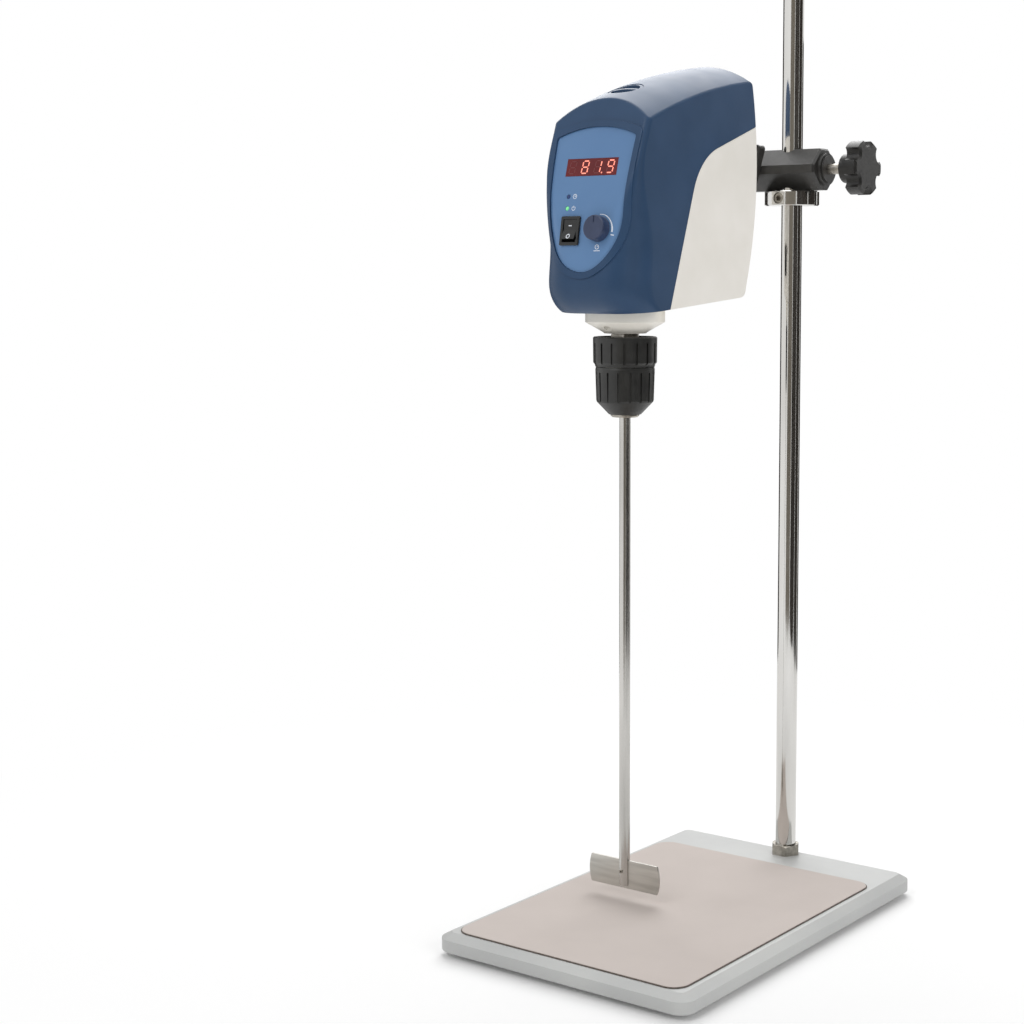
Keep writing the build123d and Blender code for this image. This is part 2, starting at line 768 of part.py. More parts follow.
board_y_places = [
    (post_x, (post_z - board_level) / board_plane.y_dir.Z) for post_x, post_z in post_places
]
with BuildPart() as front_room:
    add(inner_room.part)
    # a square boss under the port and the board's posts stay standing in the hollow
    with BuildSketch(Plane.XY.offset(port_floor - port_wall)):
        with Locations(port_centre):
            Rectangle(2 * (port_radius + port_wall), 2 * (port_radius + port_wall))
    extrude(amount=head_high - port_floor, mode=Mode.SUBTRACT)
    with BuildSketch(board_plane):
        with Locations(*board_y_places):
            Circle(post_radius)
    extrude(amount=board_depth + 5, mode=Mode.SUBTRACT)

with BuildPart() as front_housing:
    add(bezel_skin.part)
    add(front_prism(panel_outline(bezel_width)), mode=Mode.INTERSECT)
    add(outer_skin.part)
    # recess for the cap and the hole its stem stands in
    with BuildSketch(Plane.XY.offset(port_floor)):
        with Locations(port_centre):
            Circle(port_radius + port_gap)
    extrude(amount=head_high - port_floor, mode=Mode.SUBTRACT)
    with BuildSketch(Plane.XY.offset(port_floor - port_wall - 1)):
        with Locations(port_centre):
            Circle(port_stem_radius + easy_fit)
    extrude(amount=head_high - port_floor, mode=Mode.SUBTRACT)
    add(front_room.part, mode=Mode.SUBTRACT)
    with BuildSketch(board_plane):
        with Locations(*board_y_places):
            Circle(board_screw_radius)
    extrude(amount=board_depth - head_wall - 2, mode=Mode.SUBTRACT)
    add(rear_side_cut.part, mode=Mode.SUBTRACT)
    add(panel_pocket.part, mode=Mode.SUBTRACT)
    add(panel_holes(panel_gap, window_ledge), mode=Mode.SUBTRACT)
    # the floor is open for the collar under the head
    with BuildSketch(Plane.XY.offset(collar_step)):
        with Locations(port_centre):
            Circle(collar_radius + easy_fit)
    extrude(amount=bottom_front_level - collar_step + 10, mode=Mode.SUBTRACT)
save(front_housing.part, "front_housing")

# ================================================================ rear cover
# Pale moulding behind the seam, screwed to the chassis through four posts.
cover_screw_radius = 1.5
cover_head_radius = 3.0
cover_head_height = 2.0
cover_post_radius = 5.0
cover_post_height = 4.0
leg_width = 8.0
leg_depth = 8.0
leg_x = chassis_half - leg_width / 2
upper_screw = (12.0, arm_z + 13.0)
lower_screw = (leg_x, 493.0)
cover_screw_places = [
    (head_x + side * place_x, place_z)
    for place_x, place_z in (upper_screw, lower_screw)
    for side in (-1, 1)
]
inlet_face_y = 80.5
inlet_pad = 2.4
inlet_pad_depth = 5.0
rear_reach = 40.0


def facing_rear(y):
    """Plane that looks to the rear; its own X runs to the left."""
    return Plane((head_x, y, 0), x_dir=(-1, 0, 0), z_dir=(0, 1, 0))


with BuildPart() as rear_room:
    add(inner_room.part)
    # screw posts and the inlet's pad stay standing in the hollow
    with BuildSketch(facing_rear(chassis_rear)):
        with Locations(*[(head_x - x, z) for x, z in cover_screw_places]):
            Circle(cover_post_radius)
    extrude(amount=rear_reach, mode=Mode.SUBTRACT)
    with BuildSketch(facing_rear(inlet_face_y - inlet_pad_depth)):
        with Locations((0, inlet_level)):
            RectangleRounded(
                inlet_width + 2 * inlet_flange + 2 * inlet_pad,
                inlet_height + 2 * inlet_flange + 2 * inlet_pad,
                3.0,
            )
    extrude(amount=rear_reach, mode=Mode.SUBTRACT)

with BuildPart() as inlet_block:
    with BuildSketch(facing_rear(inlet_face_y - inlet_pad_depth)):
        with Locations((0, inlet_level)):
            RectangleRounded(
                inlet_width + 2 * inlet_flange + 2 * inlet_pad,
                inlet_height + 2 * inlet_flange + 2 * inlet_pad,
                3.0,
            )
    extrude(amount=inlet_pad_depth)

with BuildPart() as rear_cover:
    add(outer_skin.part)
    add(rear_room.part, mode=Mode.SUBTRACT)
    add(inlet_block.part)
    add(rear_side.part, mode=Mode.INTERSECT)
    with BuildSketch(facing_rear(inlet_face_y)):
        with Locations((0, inlet_level)):
            RectangleRounded(inlet_width + 2 * inlet_flange + 2 * inlet_pad,
                             inlet_height + 2 * inlet_flange + 2 * inlet_pad, 3.0)
    extrude(amount=rear_reach, mode=Mode.SUBTRACT)
    with BuildSketch(facing_rear(inlet_face_y - 2 * inlet_pad_depth)):
        with Locations((0, inlet_level)):
            RectangleRounded(inlet_width + 2 * easy_fit, inlet_height + 2 * easy_fit, 2.0)
    extrude(amount=rear_reach, mode=Mode.SUBTRACT)
    with BuildSketch(facing_rear(chassis_rear)):
        with Locations(*[(head_x - x, z) for x, z in cover_screw_places]):
            Circle(cover_screw_radius + 0.2)
    extrude(amount=rear_reach, mode=Mode.SUBTRACT)
    with BuildSketch(facing_rear(chassis_rear + cover_post_height)):
        with Locations(*[(head_x - x, z) for x, z in cover_screw_places]):
            Circle(cover_head_radius + easy_fit)
    extrude(amount=rear_reach, mode=Mode.SUBTRACT)
    with BuildSketch(facing_rear(chassis_rear + 1)):
        with Locations((0, arm_z)):
            Circle(arm_radius + easy_fit)
    extrude(amount=rear_reach, mode=Mode.SUBTRACT)
    with BuildSketch(Plane.XY.offset(collar_step)):
        with Locations(port_centre):
            Circle(collar_radius + easy_fit)
    extrude(amount=20, mode=Mode.SUBTRACT)
save(rear_cover.part, "rear_cover")

cover_screw_length = 12.0
with BuildPart() as cover_screws:
    with BuildSketch(facing_rear(chassis_rear + cover_post_height)):
        with Locations(*[(head_x - x, z) for x, z in cover_screw_places]):
            Circle(cover_head_radius)
    extrude(amount=cover_head_height)
    with BuildSketch(facing_rear(chassis_rear + cover_post_height)):
        with Locations(*[(head_x - x, z) for x, z in cover_screw_places]):
            Circle(cover_screw_radius)
    extrude(amount=-cover_screw_length)
save(cover_screws.part, "cover_screws")

# ================================================================ control panel and its window
with BuildPart() as control_panel:
    add(panel_skin.part)
    add(front_prism(panel_outline(0)), mode=Mode.INTERSECT)
    add(panel_seat.part, mode=Mode.SUBTRACT)
    add(panel_holes(0.1, -0.1), mode=Mode.SUBTRACT)
save(control_panel.part, "control_panel")

window_back = (panel_sink + panel_thick) * 0.93
with BuildPart() as display_window:
    with BuildSketch(window_plane.offset(-window_back)):
        Rectangle(window_width, window_height)
    extrude(amount=window_back - panel_sink * 0.9)
save(display_window.part, "display_window")

# ================================================================ circuit board, display, lamps
board_screw_head = 2.0
with BuildPart() as main_board:
    with BuildSketch(board_plane):
        Rectangle(2 * board_half_width, 2 * board_half_height)
        with Locations((switch_x - 6, -board_half_height)):
            Rectangle(switch_width + 17, 2 * (board_half_height - 9.5), mode=Mode.SUBTRACT)
        with Locations(*board_y_places):
            Circle(board_screw_radius, mode=Mode.SUBTRACT)
    extrude(amount=-board_thick)
save(main_board.part, "main_board")

with BuildPart() as board_screws:
    with BuildSketch(board_plane.offset(-board_thick)):
        with Locations(*board_y_places):
            Circle(board_screw_head)
    extrude(amount=-1.6)
    with BuildSketch(board_plane.offset(-board_thick)):
        with Locations(*board_y_places):
            Circle(board_screw_radius)
    extrude(amount=board_thick + board_depth - head_wall - 3)
save(board_screws.part, "board_screws")

display_level = (window_level - board_level) / board_plane.y_dir.Z
with BuildPart() as display_module:
    with BuildSketch(board_plane):
        with Locations((0, display_level)):
            Rectangle(window_width - 2 * window_ledge - 1, window_height - 2 * window_ledge - 0.6)
    extrude(amount=board_depth - 3.2)
save(display_module.part, "display_module")


def lamp(level, name):
    """Round lamp on a spacer that stands on the board, its dome in the panel's hole."""
    lamp_y = (level - board_level) / board_plane.y_dir.Z
    with BuildPart() as led:
        with BuildSketch(board_plane):
            with Locations((led_x, lamp_y)):
                Circle(led_radius)
        extrude(amount=board_depth)
        fillet(led.edges().filter_by(GeomType.CIRCLE).sort_by(Axis.Y)[0], radius=led_radius * 0.8)
    save(led.part, name)


lamp(led_levels[0], "upper_lamp")
lamp(led_levels[1], "lower_lamp")

# ================================================================ power switch and its rocker
rocker_pivot = switch_plane.offset(-rocker_pivot_depth)
rocker_room = 0.3
with BuildPart() as power_switch:
    with BuildSketch(switch_plane.offset(-panel_sink * 0.9)):
        RectangleRounded(switch_width, switch_height, 1.2)
    extrude(amount=switch_rim)
    chamfer(power_switch.faces().sort_by(Axis.Y)[0].edges(), length=0.5)
    with BuildSketch(switch_plane.offset(-panel_sink * 0.9)):
        Rectangle(switch_body_width, switch_body_height)
    extrude(amount=-switch_depth)
    # well the rocker tilts in, open to the front, and the holes its pins turn in
    with BuildSketch(Plane(rocker_pivot.origin, x_dir=rocker_pivot.z_dir, z_dir=(1, 0, 0))):
        with Locations((-rocker_back - 1.6, 0)):
            Rectangle(
                switch_depth, 2 * (rocker_half_height + rocker_well), align=(Align.MIN, Align.CENTER)
            )
    extrude(amount=rocker_width / 2 + rocker_room, both=True, mode=Mode.SUBTRACT)
    with BuildSketch(Plane(rocker_pivot.origin, x_dir=rocker_pivot.z_dir, z_dir=(1, 0, 0))):
        Circle(rocker_pin_radius + running_fit)
    extrude(amount=rocker_width / 2 + rocker_pin_reach + rocker_room, both=True, mode=Mode.SUBTRACT)
save(power_switch.part, "power_switch")

rocker_dir = rocker_pivot.z_dir.rotate(Axis.X, -rocker_tilt)
rocker_side = Plane(rocker_pivot.origin, x_dir=rocker_dir, z_dir=(1, 0, 0))
with BuildPart() as power_rocker:
    with BuildSketch(rocker_side):
        with BuildLine():
            Polyline(
                (rocker_dip, 0),
                (rocker_peak, rocker_half_height),
                (-rocker_back, rocker_half_height),
                (-rocker_back, -rocker_half_height),
                (rocker_peak, -rocker_half_height),
                close=True,
            )
        make_face()
    extrude(amount=rocker_width / 2, both=True)
    with BuildSketch(rocker_side):
        Circle(rocker_pin_radius)
    extrude(amount=rocker_width / 2 + rocker_pin_reach, both=True)
save(power_rocker.part, "power_rocker")

# ================================================================ speed encoder and knob
encoder_local = ((knob_level - board_level) / board_plane.y_dir.Z)
with BuildPart() as speed_encoder:
    with BuildSketch(board_plane):
        with Locations((knob_x, encoder_local)):
            Rectangle(12.0, 12.0)
    extrude(amount=board_depth - head_wall - 1.6)
    with BuildSketch(knob_plane.offset(-head_wall - 1.8)):
        Circle(encoder_bush_radius)
    extrude(amount=head_wall + 1.8 + 0.2)
    with BuildSketch(knob_plane.offset(-head_wall - 1.8)):
        Circle(encoder_shaft_radius + running_fit)
    extrude(amount=head_wall + 4, mode=Mode.SUBTRACT)
save(speed_encoder.part, "speed_encoder")

with BuildPart() as encoder_shaft:
    with BuildSketch(knob_plane.offset(-head_wall - 1.8)):
        Circle(encoder_shaft_radius)
    extrude(amount=head_wall + 1.8 + speed_knob_height - 1.5)
save(encoder_shaft.part, "encoder_shaft")

knob_clearance = 0.5
with BuildPart() as speed_knob:
    with BuildSketch(knob_plane.offset(knob_clearance)):
        Circle(speed_knob_radius)
    extrude(amount=speed_knob_height, taper=3)
    outer_end = speed_knob.edges().filter_by(GeomType.CIRCLE).sort_by(Axis.Y)[0]
    fillet(outer_end, radius=1.0)
    with BuildSketch(knob_plane.offset(knob_clearance)):
        Circle(encoder_shaft_radius)
    extrude(amount=speed_knob_height - knob_clearance - 1.5, mode=Mode.SUBTRACT)
    with BuildSketch(knob_plane.offset(knob_clearance + speed_knob_height)):
        with Locations((0, speed_knob_radius * 0.62)):
            Rectangle(1.0, speed_knob_radius * 0.5)
    extrude(amount=-0.5, mode=Mode.SUBTRACT)
save(speed_knob.part, "speed_knob")

# ================================================================ plug over the shaft port
port_cap_fit = 0.1
with BuildPart() as shaft_port_cap:
    with BuildSketch(Plane.XY.offset(port_floor)):
        with Locations(port_centre):
            Circle(port_radius - port_cap_fit)
    extrude(amount=40)
    add(panel_skin.part, mode=Mode.INTERSECT)
    with BuildSketch(Plane.XY.offset(port_floor)):
        with Locations(port_centre):
            Circle(port_stem_radius)
    extrude(amount=-port_stem_length)
    # two hollows leave a finger bar across the middle
    with BuildSketch(Plane.XY.offset(port_floor + 3.0)):
        with Locations(port_centre):
            Circle(port_radius - 2.2)
            Rectangle(2 * port_radius, 2.6, mode=Mode.SUBTRACT)
    extrude(amount=40, mode=Mode.SUBTRACT)
save(shaft_port_cap.part, "shaft_port_cap")

# ================================================================ chassis
# One casting: a level plate, the block that grips the arm, two legs for the rear cover, and the
# tube that houses both spindle bearings.
bearing_low = collar_top + 2.0
bearing_high = chassis_top - bearing_width
tube_flange_radius = 26.0
tube_flange_height = 8.0
collar_screw_circle = 21.0
collar_screw_radius = 1.5
motor_screw_circle = 16.0
motor_pilot_radius = 9.0
arm_screw_radius = 2.5
arm_screw_places = [(head_x, arm_block_front + 6.0), (head_x, chassis_rear - 6.0)]
arm_block_top = arm_z + arm_block_rise
plate_middle_y = (chassis_front + chassis_rear) / 2
leg_under = 486.0
leg_y = chassis_rear - leg_depth / 2

with BuildPart() as chassis:
    with BuildSketch(Plane.XY.offset(chassis_under)):
        with Locations((head_x, plate_middle_y)):
            RectangleRounded(2 * chassis_half, chassis_rear - chassis_front, 4.0)
    extrude(amount=chassis_thick)
    with BuildSketch(Plane.XY.offset(chassis_under)):
        with Locations((head_x, (arm_block_front + chassis_rear) / 2)):
            Rectangle(2 * arm_block_half, chassis_rear - arm_block_front)
    extrude(amount=arm_block_top - chassis_under)
    with BuildSketch(Plane.XY.offset(leg_under)):
        with Locations((head_x - leg_x, leg_y), (head_x + leg_x, leg_y)):
            Rectangle(leg_width, leg_depth)
    extrude(amount=chassis_under - leg_under)
    with BuildSketch(Plane.XY.offset(collar_top)):
        with Locations(port_centre):
            Circle(tube_radius)
    extrude(amount=chassis_under - collar_top)
    with BuildSketch(Plane.XY.offset(collar_top)):
        with Locations(port_centre):
            Circle(tube_flange_radius)
    extrude(amount=tube_flange_height)
    with BuildSketch(Plane.XY.offset(collar_top)):
        with Locations(port_centre):
            Circle(bearing_radius)
    extrude(amount=bearing_low + bearing_width - collar_top, mode=Mode.SUBTRACT)
    with BuildSketch(Plane.XY.offset(bearing_high)):
        with Locations(port_centre):
            Circle(bearing_radius)
    extrude(amount=bearing_width, mode=Mode.SUBTRACT)
    with BuildSketch(Plane.XY.offset(collar_top)):
        with Locations(port_centre):
            Circle(bearing_shoulder)
    extrude(amount=chassis_top - collar_top, mode=Mode.SUBTRACT)
    with BuildSketch(Plane.XY.offset(collar_top)):
        with Locations(port_centre):
            with PolarLocations(collar_screw_circle, 3, start_angle=30):
                Circle(collar_screw_radius)
    extrude(amount=tube_flange_height, mode=Mode.SUBTRACT)
    with BuildSketch(Plane.XY.offset(chassis_under)):
        with Locations((head_x, motor_y)):
            Circle(motor_pilot_radius)
            with PolarLocations(motor_screw_circle, 2, start_angle=0):
                Circle(cover_screw_radius + 0.1)
    extrude(amount=chassis_thick, mode=Mode.SUBTRACT)
    with BuildSketch(facing_rear(arm_block_front + 4)):
        with Locations((0, arm_z)):
            Circle(arm_radius)
    extrude(amount=rear_reach, mode=Mode.SUBTRACT)
    with BuildSketch(Plane.XY.offset(arm_z)):
        with Locations(*arm_screw_places):
            Circle(arm_screw_radius)
    extrude(amount=rear_reach, mode=Mode.SUBTRACT)
    with BuildSketch(facing_rear(chassis_rear)):
        with Locations(*[(head_x - x, z) for x, z in cover_screw_places]):
            Circle(cover_screw_radius)
    extrude(amount=-(cover_screw_length - cover_post_height + 0.5), mode=Mode.SUBTRACT)
save(chassis.part, "chassis")

# ================================================================ mounting arm and its grub screws
with BuildPart() as mounting_arm:
    with BuildSketch(facing_rear(arm_block_front + 4)):
        with Locations((0, arm_z)):
            Circle(arm_radius)
    extrude(amount=arm_end - arm_block_front - 4)
    chamfer(mounting_arm.faces().sort_by(Axis.Y)[-1].edges(), length=1.0)
save(mounting_arm.part, "mounting_arm")

with BuildPart() as arm_screws:
    with BuildSketch(Plane.XY.offset(arm_z + arm_radius)):
        with Locations(*arm_screw_places):
            Circle(arm_screw_radius)
    extrude(amount=arm_block_rise - arm_radius - 1)
    with BuildSketch(Plane.XY.offset(arm_block_top - 1)):
        with Locations(*arm_screw_places):
            RegularPolygon(radius=1.25, side_count=6, major_radius=False)
    extrude(amount=-3.0, mode=Mode.SUBTRACT)
save(arm_screws.part, "arm_screws")

# ================================================================ bearing collar under the head
collar_bore = spindle_radius + 0.7
collar_head_pocket = 9.0
collar_screw_head = 2.7
spindle_axis_plane = Plane((head_x, shaft_y, 0), x_dir=(1, 0, 0), z_dir=(0, -1, 0))
spindle_axis = Axis((head_x, shaft_y, 0), (0, 0, 1))

with BuildPart() as bearing_collar:
    with BuildSketch(spindle_axis_plane):
        with BuildLine():
            Polyline(
                (collar_bore, collar_under),
                (collar_nose_radius - 0.8, collar_under),
                (collar_nose_radius, collar_under + 0.8),
                (collar_cone_radius, collar_step - 0.6),
                (collar_radius - 0.5, collar_step),
                (collar_radius, collar_step + 0.5),
                (collar_radius, collar_top),
                (bearing_radius - running_fit, collar_top),
                (bearing_radius - running_fit, bearing_low),
                (bearing_shoulder, bearing_low),
                (bearing_shoulder, collar_top - 3),
                (collar_bore, collar_top - 3),
                close=True,
            )
        make_face()
    revolve(axis=spindle_axis)
    with BuildSketch(Plane.XY.offset(collar_under)):
        with Locations(port_centre):
            with PolarLocations(collar_screw_circle, 3, start_angle=30):
                Circle(collar_screw_head + easy_fit)
    extrude(amount=collar_head_pocket, mode=Mode.SUBTRACT)
    with BuildSketch(Plane.XY.offset(collar_under)):
        with Locations(port_centre):
            with PolarLocations(collar_screw_circle, 3, start_angle=30):
                Circle(collar_screw_radius + 0.1)
    extrude(amount=collar_top - collar_under, mode=Mode.SUBTRACT)
save(bearing_collar.part, "bearing_collar")

with BuildPart() as collar_screws:
    with BuildSketch(Plane.XY.offset(collar_under + collar_head_pocket)):
        with Locations(port_centre):
            with PolarLocations(collar_screw_circle, 3, start_angle=30):
                Circle(collar_screw_head)
    extrude(amount=-2.6)
    with BuildSketch(Plane.XY.offset(collar_under + collar_head_pocket)):
        with Locations(port_centre):
            with PolarLocations(collar_screw_circle, 3, start_angle=30):
                Circle(collar_screw_radius)
    extrude(amount=collar_top - collar_under - collar_head_pocket + tube_flange_height - 1)
save(collar_screws.part, "collar_screws")


# ================================================================ bearings and hollow spindle
def ball_bearing(low, name):
    """Shielded bearing: two races round a recessed shield."""
    shield = 0.6
    race = 2.6
    inner = spindle_radius + running_fit
    top = low + bearing_width
    with BuildPart() as bearing:
        with BuildSketch(spindle_axis_plane):
            with BuildLine():
                Polyline(
                    (inner, low),
                    (inner + race, low),
                    (inner + race, low + shield),
                    (bearing_radius - race, low + shield),
                    (bearing_radius - race, low),
                    (bearing_radius, low),
                    (bearing_radius, top),
                    (bearing_radius - race, top),
                    (bearing_radius - race, top - shield),
                    (inner + race, top - shield),
                    (inner + race, top),
                    (inner, top),
                    close=True,
                )
            make_face()
        revolve(axis=spindle_axis)
    save(bearing.part, name)


ball_bearing(bearing_low, "lower_bearing")
ball_bearing(bearing_high, "upper_bearing")

spindle_end = 412.0       # foot of the spindle, inside the chuck
spindle_thread = 6.5
spindle_flange_low = bearing_low + bearing_width + easy_fit
spindle_flange_high = spindle_flange_low + 3.0
with BuildPart() as spindle:
    with BuildSketch(spindle_axis_plane):
        with BuildLine():
            Polyline(
                (spindle_bore, spindle_end),
                (spindle_thread, spindle_end),
                (spindle_thread, collar_under + 0.2),
                (spindle_radius, collar_under + 0.2),
                (spindle_radius, spindle_flange_low),
                (spindle_flange_radius, spindle_flange_low),
                (spindle_flange_radius, spindle_flange_high),
                (spindle_radius, spindle_flange_high),
                (spindle_radius, spindle_top - 0.6),
                (spindle_radius - 0.6, spindle_top),
                (spindle_bore, spindle_top),
                close=True,
            )
        make_face()
    revolve(axis=spindle_axis)
save(spindle.part, "spindle")


# ================================================================ pulleys and belt
def pulley(axis_y, drum, bore, hub, name):
    """Flanged drum that the flat belt runs on, with a hub below."""
    low = pulley_level - 0.2 - pulley_flange_thick
    high = pulley_level + belt_width + 0.2 + pulley_flange_thick
    axis_plane = Plane((head_x, axis_y, 0), x_dir=(1, 0, 0), z_dir=(0, -1, 0))
    with BuildPart() as wheel:
        with BuildSketch(axis_plane):
            with BuildLine():
                Polyline(
                    (bore, chassis_top + 0.3),
                    (hub, chassis_top + 0.3),
                    (hub, low),
                    (drum + pulley_flange, low),
                    (drum + pulley_flange, low + pulley_flange_thick),
                    (drum, low + pulley_flange_thick),
                    (drum, high - pulley_flange_thick),
                    (drum + pulley_flange, high - pulley_flange_thick),
                    (drum + pulley_flange, high),
                    (bore, high),
                    close=True,
                )
            make_face()
        revolve(axis=Axis((head_x, axis_y, 0), (0, 0, 1)))
    save(wheel.part, name)


pulley(shaft_y, spindle_pulley_radius, spindle_radius, spindle_radius + 2.5, "spindle_pulley")
pulley(motor_y, motor_pulley_radius, motor_shaft_radius, motor_shaft_radius + 3.0, "motor_pulley")


def belt_loop(grow):
    """Outline of a band tight round both drums, that far off them."""
    near = spindle_pulley_radius + grow
    far = motor_pulley_radius + grow
    tilt = asin((near - far) / motor_setback)
    with BuildSketch(Plane.XY.offset(pulley_level)) as loop:
        with Locations(port_centre):
            Circle(near)
        with Locations((head_x, motor_y)):
            Circle(far)
        with BuildLine():
            Polyline(
                (head_x + near * cos(tilt), shaft_y + near * sin(tilt)),
                (head_x + far * cos(tilt), motor_y + far * sin(tilt)),
                (head_x - far * cos(tilt), motor_y + far * sin(tilt)),
                (head_x - near * cos(tilt), shaft_y + near * sin(tilt)),
                close=True,
            )
        make_face()
    return loop.sketch


belt_gap = 0.08
with BuildPart() as drive_belt:
    extrude(belt_loop(belt_gap + belt_thick), amount=belt_width, dir=(0, 0, 1))
    extrude(belt_loop(belt_gap), amount=belt_width, dir=(0, 0, 1), mode=Mode.SUBTRACT)
save(drive_belt.part, "drive_belt")

# ================================================================ motor
motor_boss_height = chassis_thick
motor_boss_radius = motor_pilot_radius - 0.1
motor_screw_radius = 1.5
with BuildPart() as motor:
    with BuildSketch(Plane.XY.offset(chassis_under)):
        with Locations((head_x, motor_y)):
            Circle(motor_radius)
    extrude(amount=-motor_height)
    chamfer(motor.faces().filter_by(Axis.Z).edges(), length=1.5)
    with BuildSketch(Plane.XY.offset(chassis_under)):
        with Locations((head_x, motor_y)):
            Circle(motor_boss_radius)
    extrude(amount=motor_boss_height - 1)
    with BuildSketch(Plane.XY.offset(chassis_under - motor_height + 1)):
        with Locations((head_x, motor_y)):
            Circle(motor_shaft_radius + running_fit)
    extrude(amount=motor_height + motor_boss_height, mode=Mode.SUBTRACT)
    with BuildSketch(Plane.XY.offset(chassis_under)):
        with Locations((head_x, motor_y)):
            with PolarLocations(motor_screw_circle, 2):
                Circle(motor_screw_radius)
    extrude(amount=-6, mode=Mode.SUBTRACT)
save(motor.part, "motor")

with BuildPart() as motor_screws:
    with BuildSketch(Plane.XY.offset(chassis_top)):
        with Locations((head_x, motor_y)):
            with PolarLocations(motor_screw_circle, 2):
                Circle(motor_screw_radius + 1.2)
    extrude(amount=1.6)
    with BuildSketch(Plane.XY.offset(chassis_top)):
        with Locations((head_x, motor_y)):
            with PolarLocations(motor_screw_circle, 2):
                Circle(motor_screw_radius)
    extrude(amount=-chassis_thick - 5)
save(motor_screws.part, "motor_screws")

with BuildPart() as motor_shaft:
    with BuildSketch(Plane.XY.offset(chassis_under - motor_height + 1.2)):
        with Locations((head_x, motor_y)):
            Circle(motor_shaft_radius)
    extrude(amount=pulley_level + belt_width + 4 - chassis_under + motor_height - 1.2)
save(motor_shaft.part, "motor_shaft")

# ================================================================ power inlet
inlet_wall = 1.4
pin_places = [(-7.0, -2.0), (7.0, -2.0), (0.0, 2.0)]
with BuildPart() as power_inlet:
    with BuildSketch(facing_rear(inlet_face_y)):
        with Locations((0, inlet_level)):
            RectangleRounded(inlet_width + 2 * inlet_flange, inlet_height + 2 * inlet_flange, 3.0)
    extrude(amount=2.0)
    with BuildSketch(facing_rear(inlet_face_y)):
        with Locations((0, inlet_level)):
            RectangleRounded(inlet_width, inlet_height, 2.0)
    extrude(amount=-inlet_depth)
    with BuildSketch(facing_rear(inlet_face_y + 2.0)):
        with Locations((0, inlet_level)):
            Rectangle(inlet_width - 2 * inlet_wall, inlet_height - 2 * inlet_wall)
    extrude(amount=-inlet_cavity_depth, mode=Mode.SUBTRACT)
    with BuildSketch(facing_rear(inlet_face_y + 2.0 - inlet_cavity_depth)):
        for pin_x, pin_z in pin_places:
            with Locations((pin_x, inlet_level + pin_z)):
                Rectangle(2.0, 4.0)
    extrude(amount=inlet_pin_length)
save(power_inlet.part, "power_inlet")

# ================================================================ keyless chuck
# Steel body with three slanting jaw bores; the front sleeve carries a cone nut that walks the
# jaws along their bores, the rear sleeve is the grip that holds the body still.
jaw_slope = tan(radians(jaw_angle))
groove_radius = 12.7
mid_radius = 14.8
nose_body_radius = 10.4
nose_fit = 0.1
nut_play = 0.3
back_plate_radius = 19.5
back_plate_thick = 3.6
neck_body_radius = 13.0
chuck_flange_top = 412.5


def jaw_axis_offset(z):
    """Distance of a jaw's middle line from the chuck's axis at a level."""
    return jaw_tip_offset + (z - chuck_under) * jaw_slope


nut_ring_high = nut_ring_low + nut_ring_height
with BuildPart() as chuck_body:
    with BuildSketch(spindle_axis_plane):
        with BuildLine():
            Polyline(
                (spindle_bore, chuck_under),
                (nose_body_radius - 1.2, chuck_under),
                (nose_body_radius, chuck_under + 1.2),
                (nose_body_radius, sleeve_cone_level),
                (mid_radius, sleeve_cone_level),
                (mid_radius, nut_ring_low - nut_play),
                (groove_radius, nut_ring_low - nut_play),
                (groove_radius, nut_ring_high + nut_play),
                (chuck_core_radius, nut_ring_high + nut_play),
                (chuck_core_radius, chuck_flange_top),
                (neck_body_radius, chuck_flange_top),
                (neck_body_radius, chuck_back - back_plate_thick),
                (back_plate_radius, chuck_back - back_plate_thick),
                (back_plate_radius, chuck_back),
                (spindle_thread, chuck_back),
                (spindle_thread, spindle_end),
                (spindle_bore, spindle_end),
                close=True,
            )
        make_face()
    revolve(axis=spindle_axis)
    for turn in range(3):
        heading = radians(turn * 120 - 90)
        tilt = radians(jaw_angle)
        jaw_line = (sin(tilt) * cos(heading), sin(tilt) * sin(heading), cos(tilt))
        start = chuck_under - 8
        foot = jaw_axis_offset(start)
        bore_plane = Plane(
            (head_x + foot * cos(heading), shaft_y + foot * sin(heading), start), z_dir=jaw_line
        )
        with BuildSketch(bore_plane):
            Circle(jaw_radius + running_fit)
        extrude(amount=8 / cos(tilt) + jaw_length + 7.5, mode=Mode.SUBTRACT)
save(chuck_body.part, "chuck_body")

for turn in range(3):
    heading = radians(turn * 120 - 90)
    tilt = radians(jaw_angle)
    jaw_line = (sin(tilt) * cos(heading), sin(tilt) * sin(heading), cos(tilt))
    start = chuck_under - 8
    foot = jaw_axis_offset(start)
    jaw_plane = Plane(
        (head_x + foot * cos(heading), shaft_y + foot * sin(heading), start), z_dir=jaw_line
    )
    grip_plane = Plane(
        (head_x, shaft_y, start - 2), x_dir=(cos(heading), sin(heading), 0), z_dir=(0, 0, 1)
    )
    with BuildPart() as chuck_jaw:
        with BuildSketch(jaw_plane):
            Circle(jaw_radius)
        extrude(amount=8 / cos(tilt) + jaw_length)
        with BuildSketch(grip_plane):
            with Locations(((stir_radius + running_fit) / 2 - 10, 0)):
                Rectangle(stir_radius + running_fit + 20, 30)
        extrude(amount=60, mode=Mode.SUBTRACT)
        with BuildSketch(grip_plane):
            Rectangle(60, 60)
        extrude(amount=chuck_under + 0.4 - start + 2, mode=Mode.SUBTRACT)
    save(chuck_jaw.part, f"chuck_jaw_{turn + 1}")

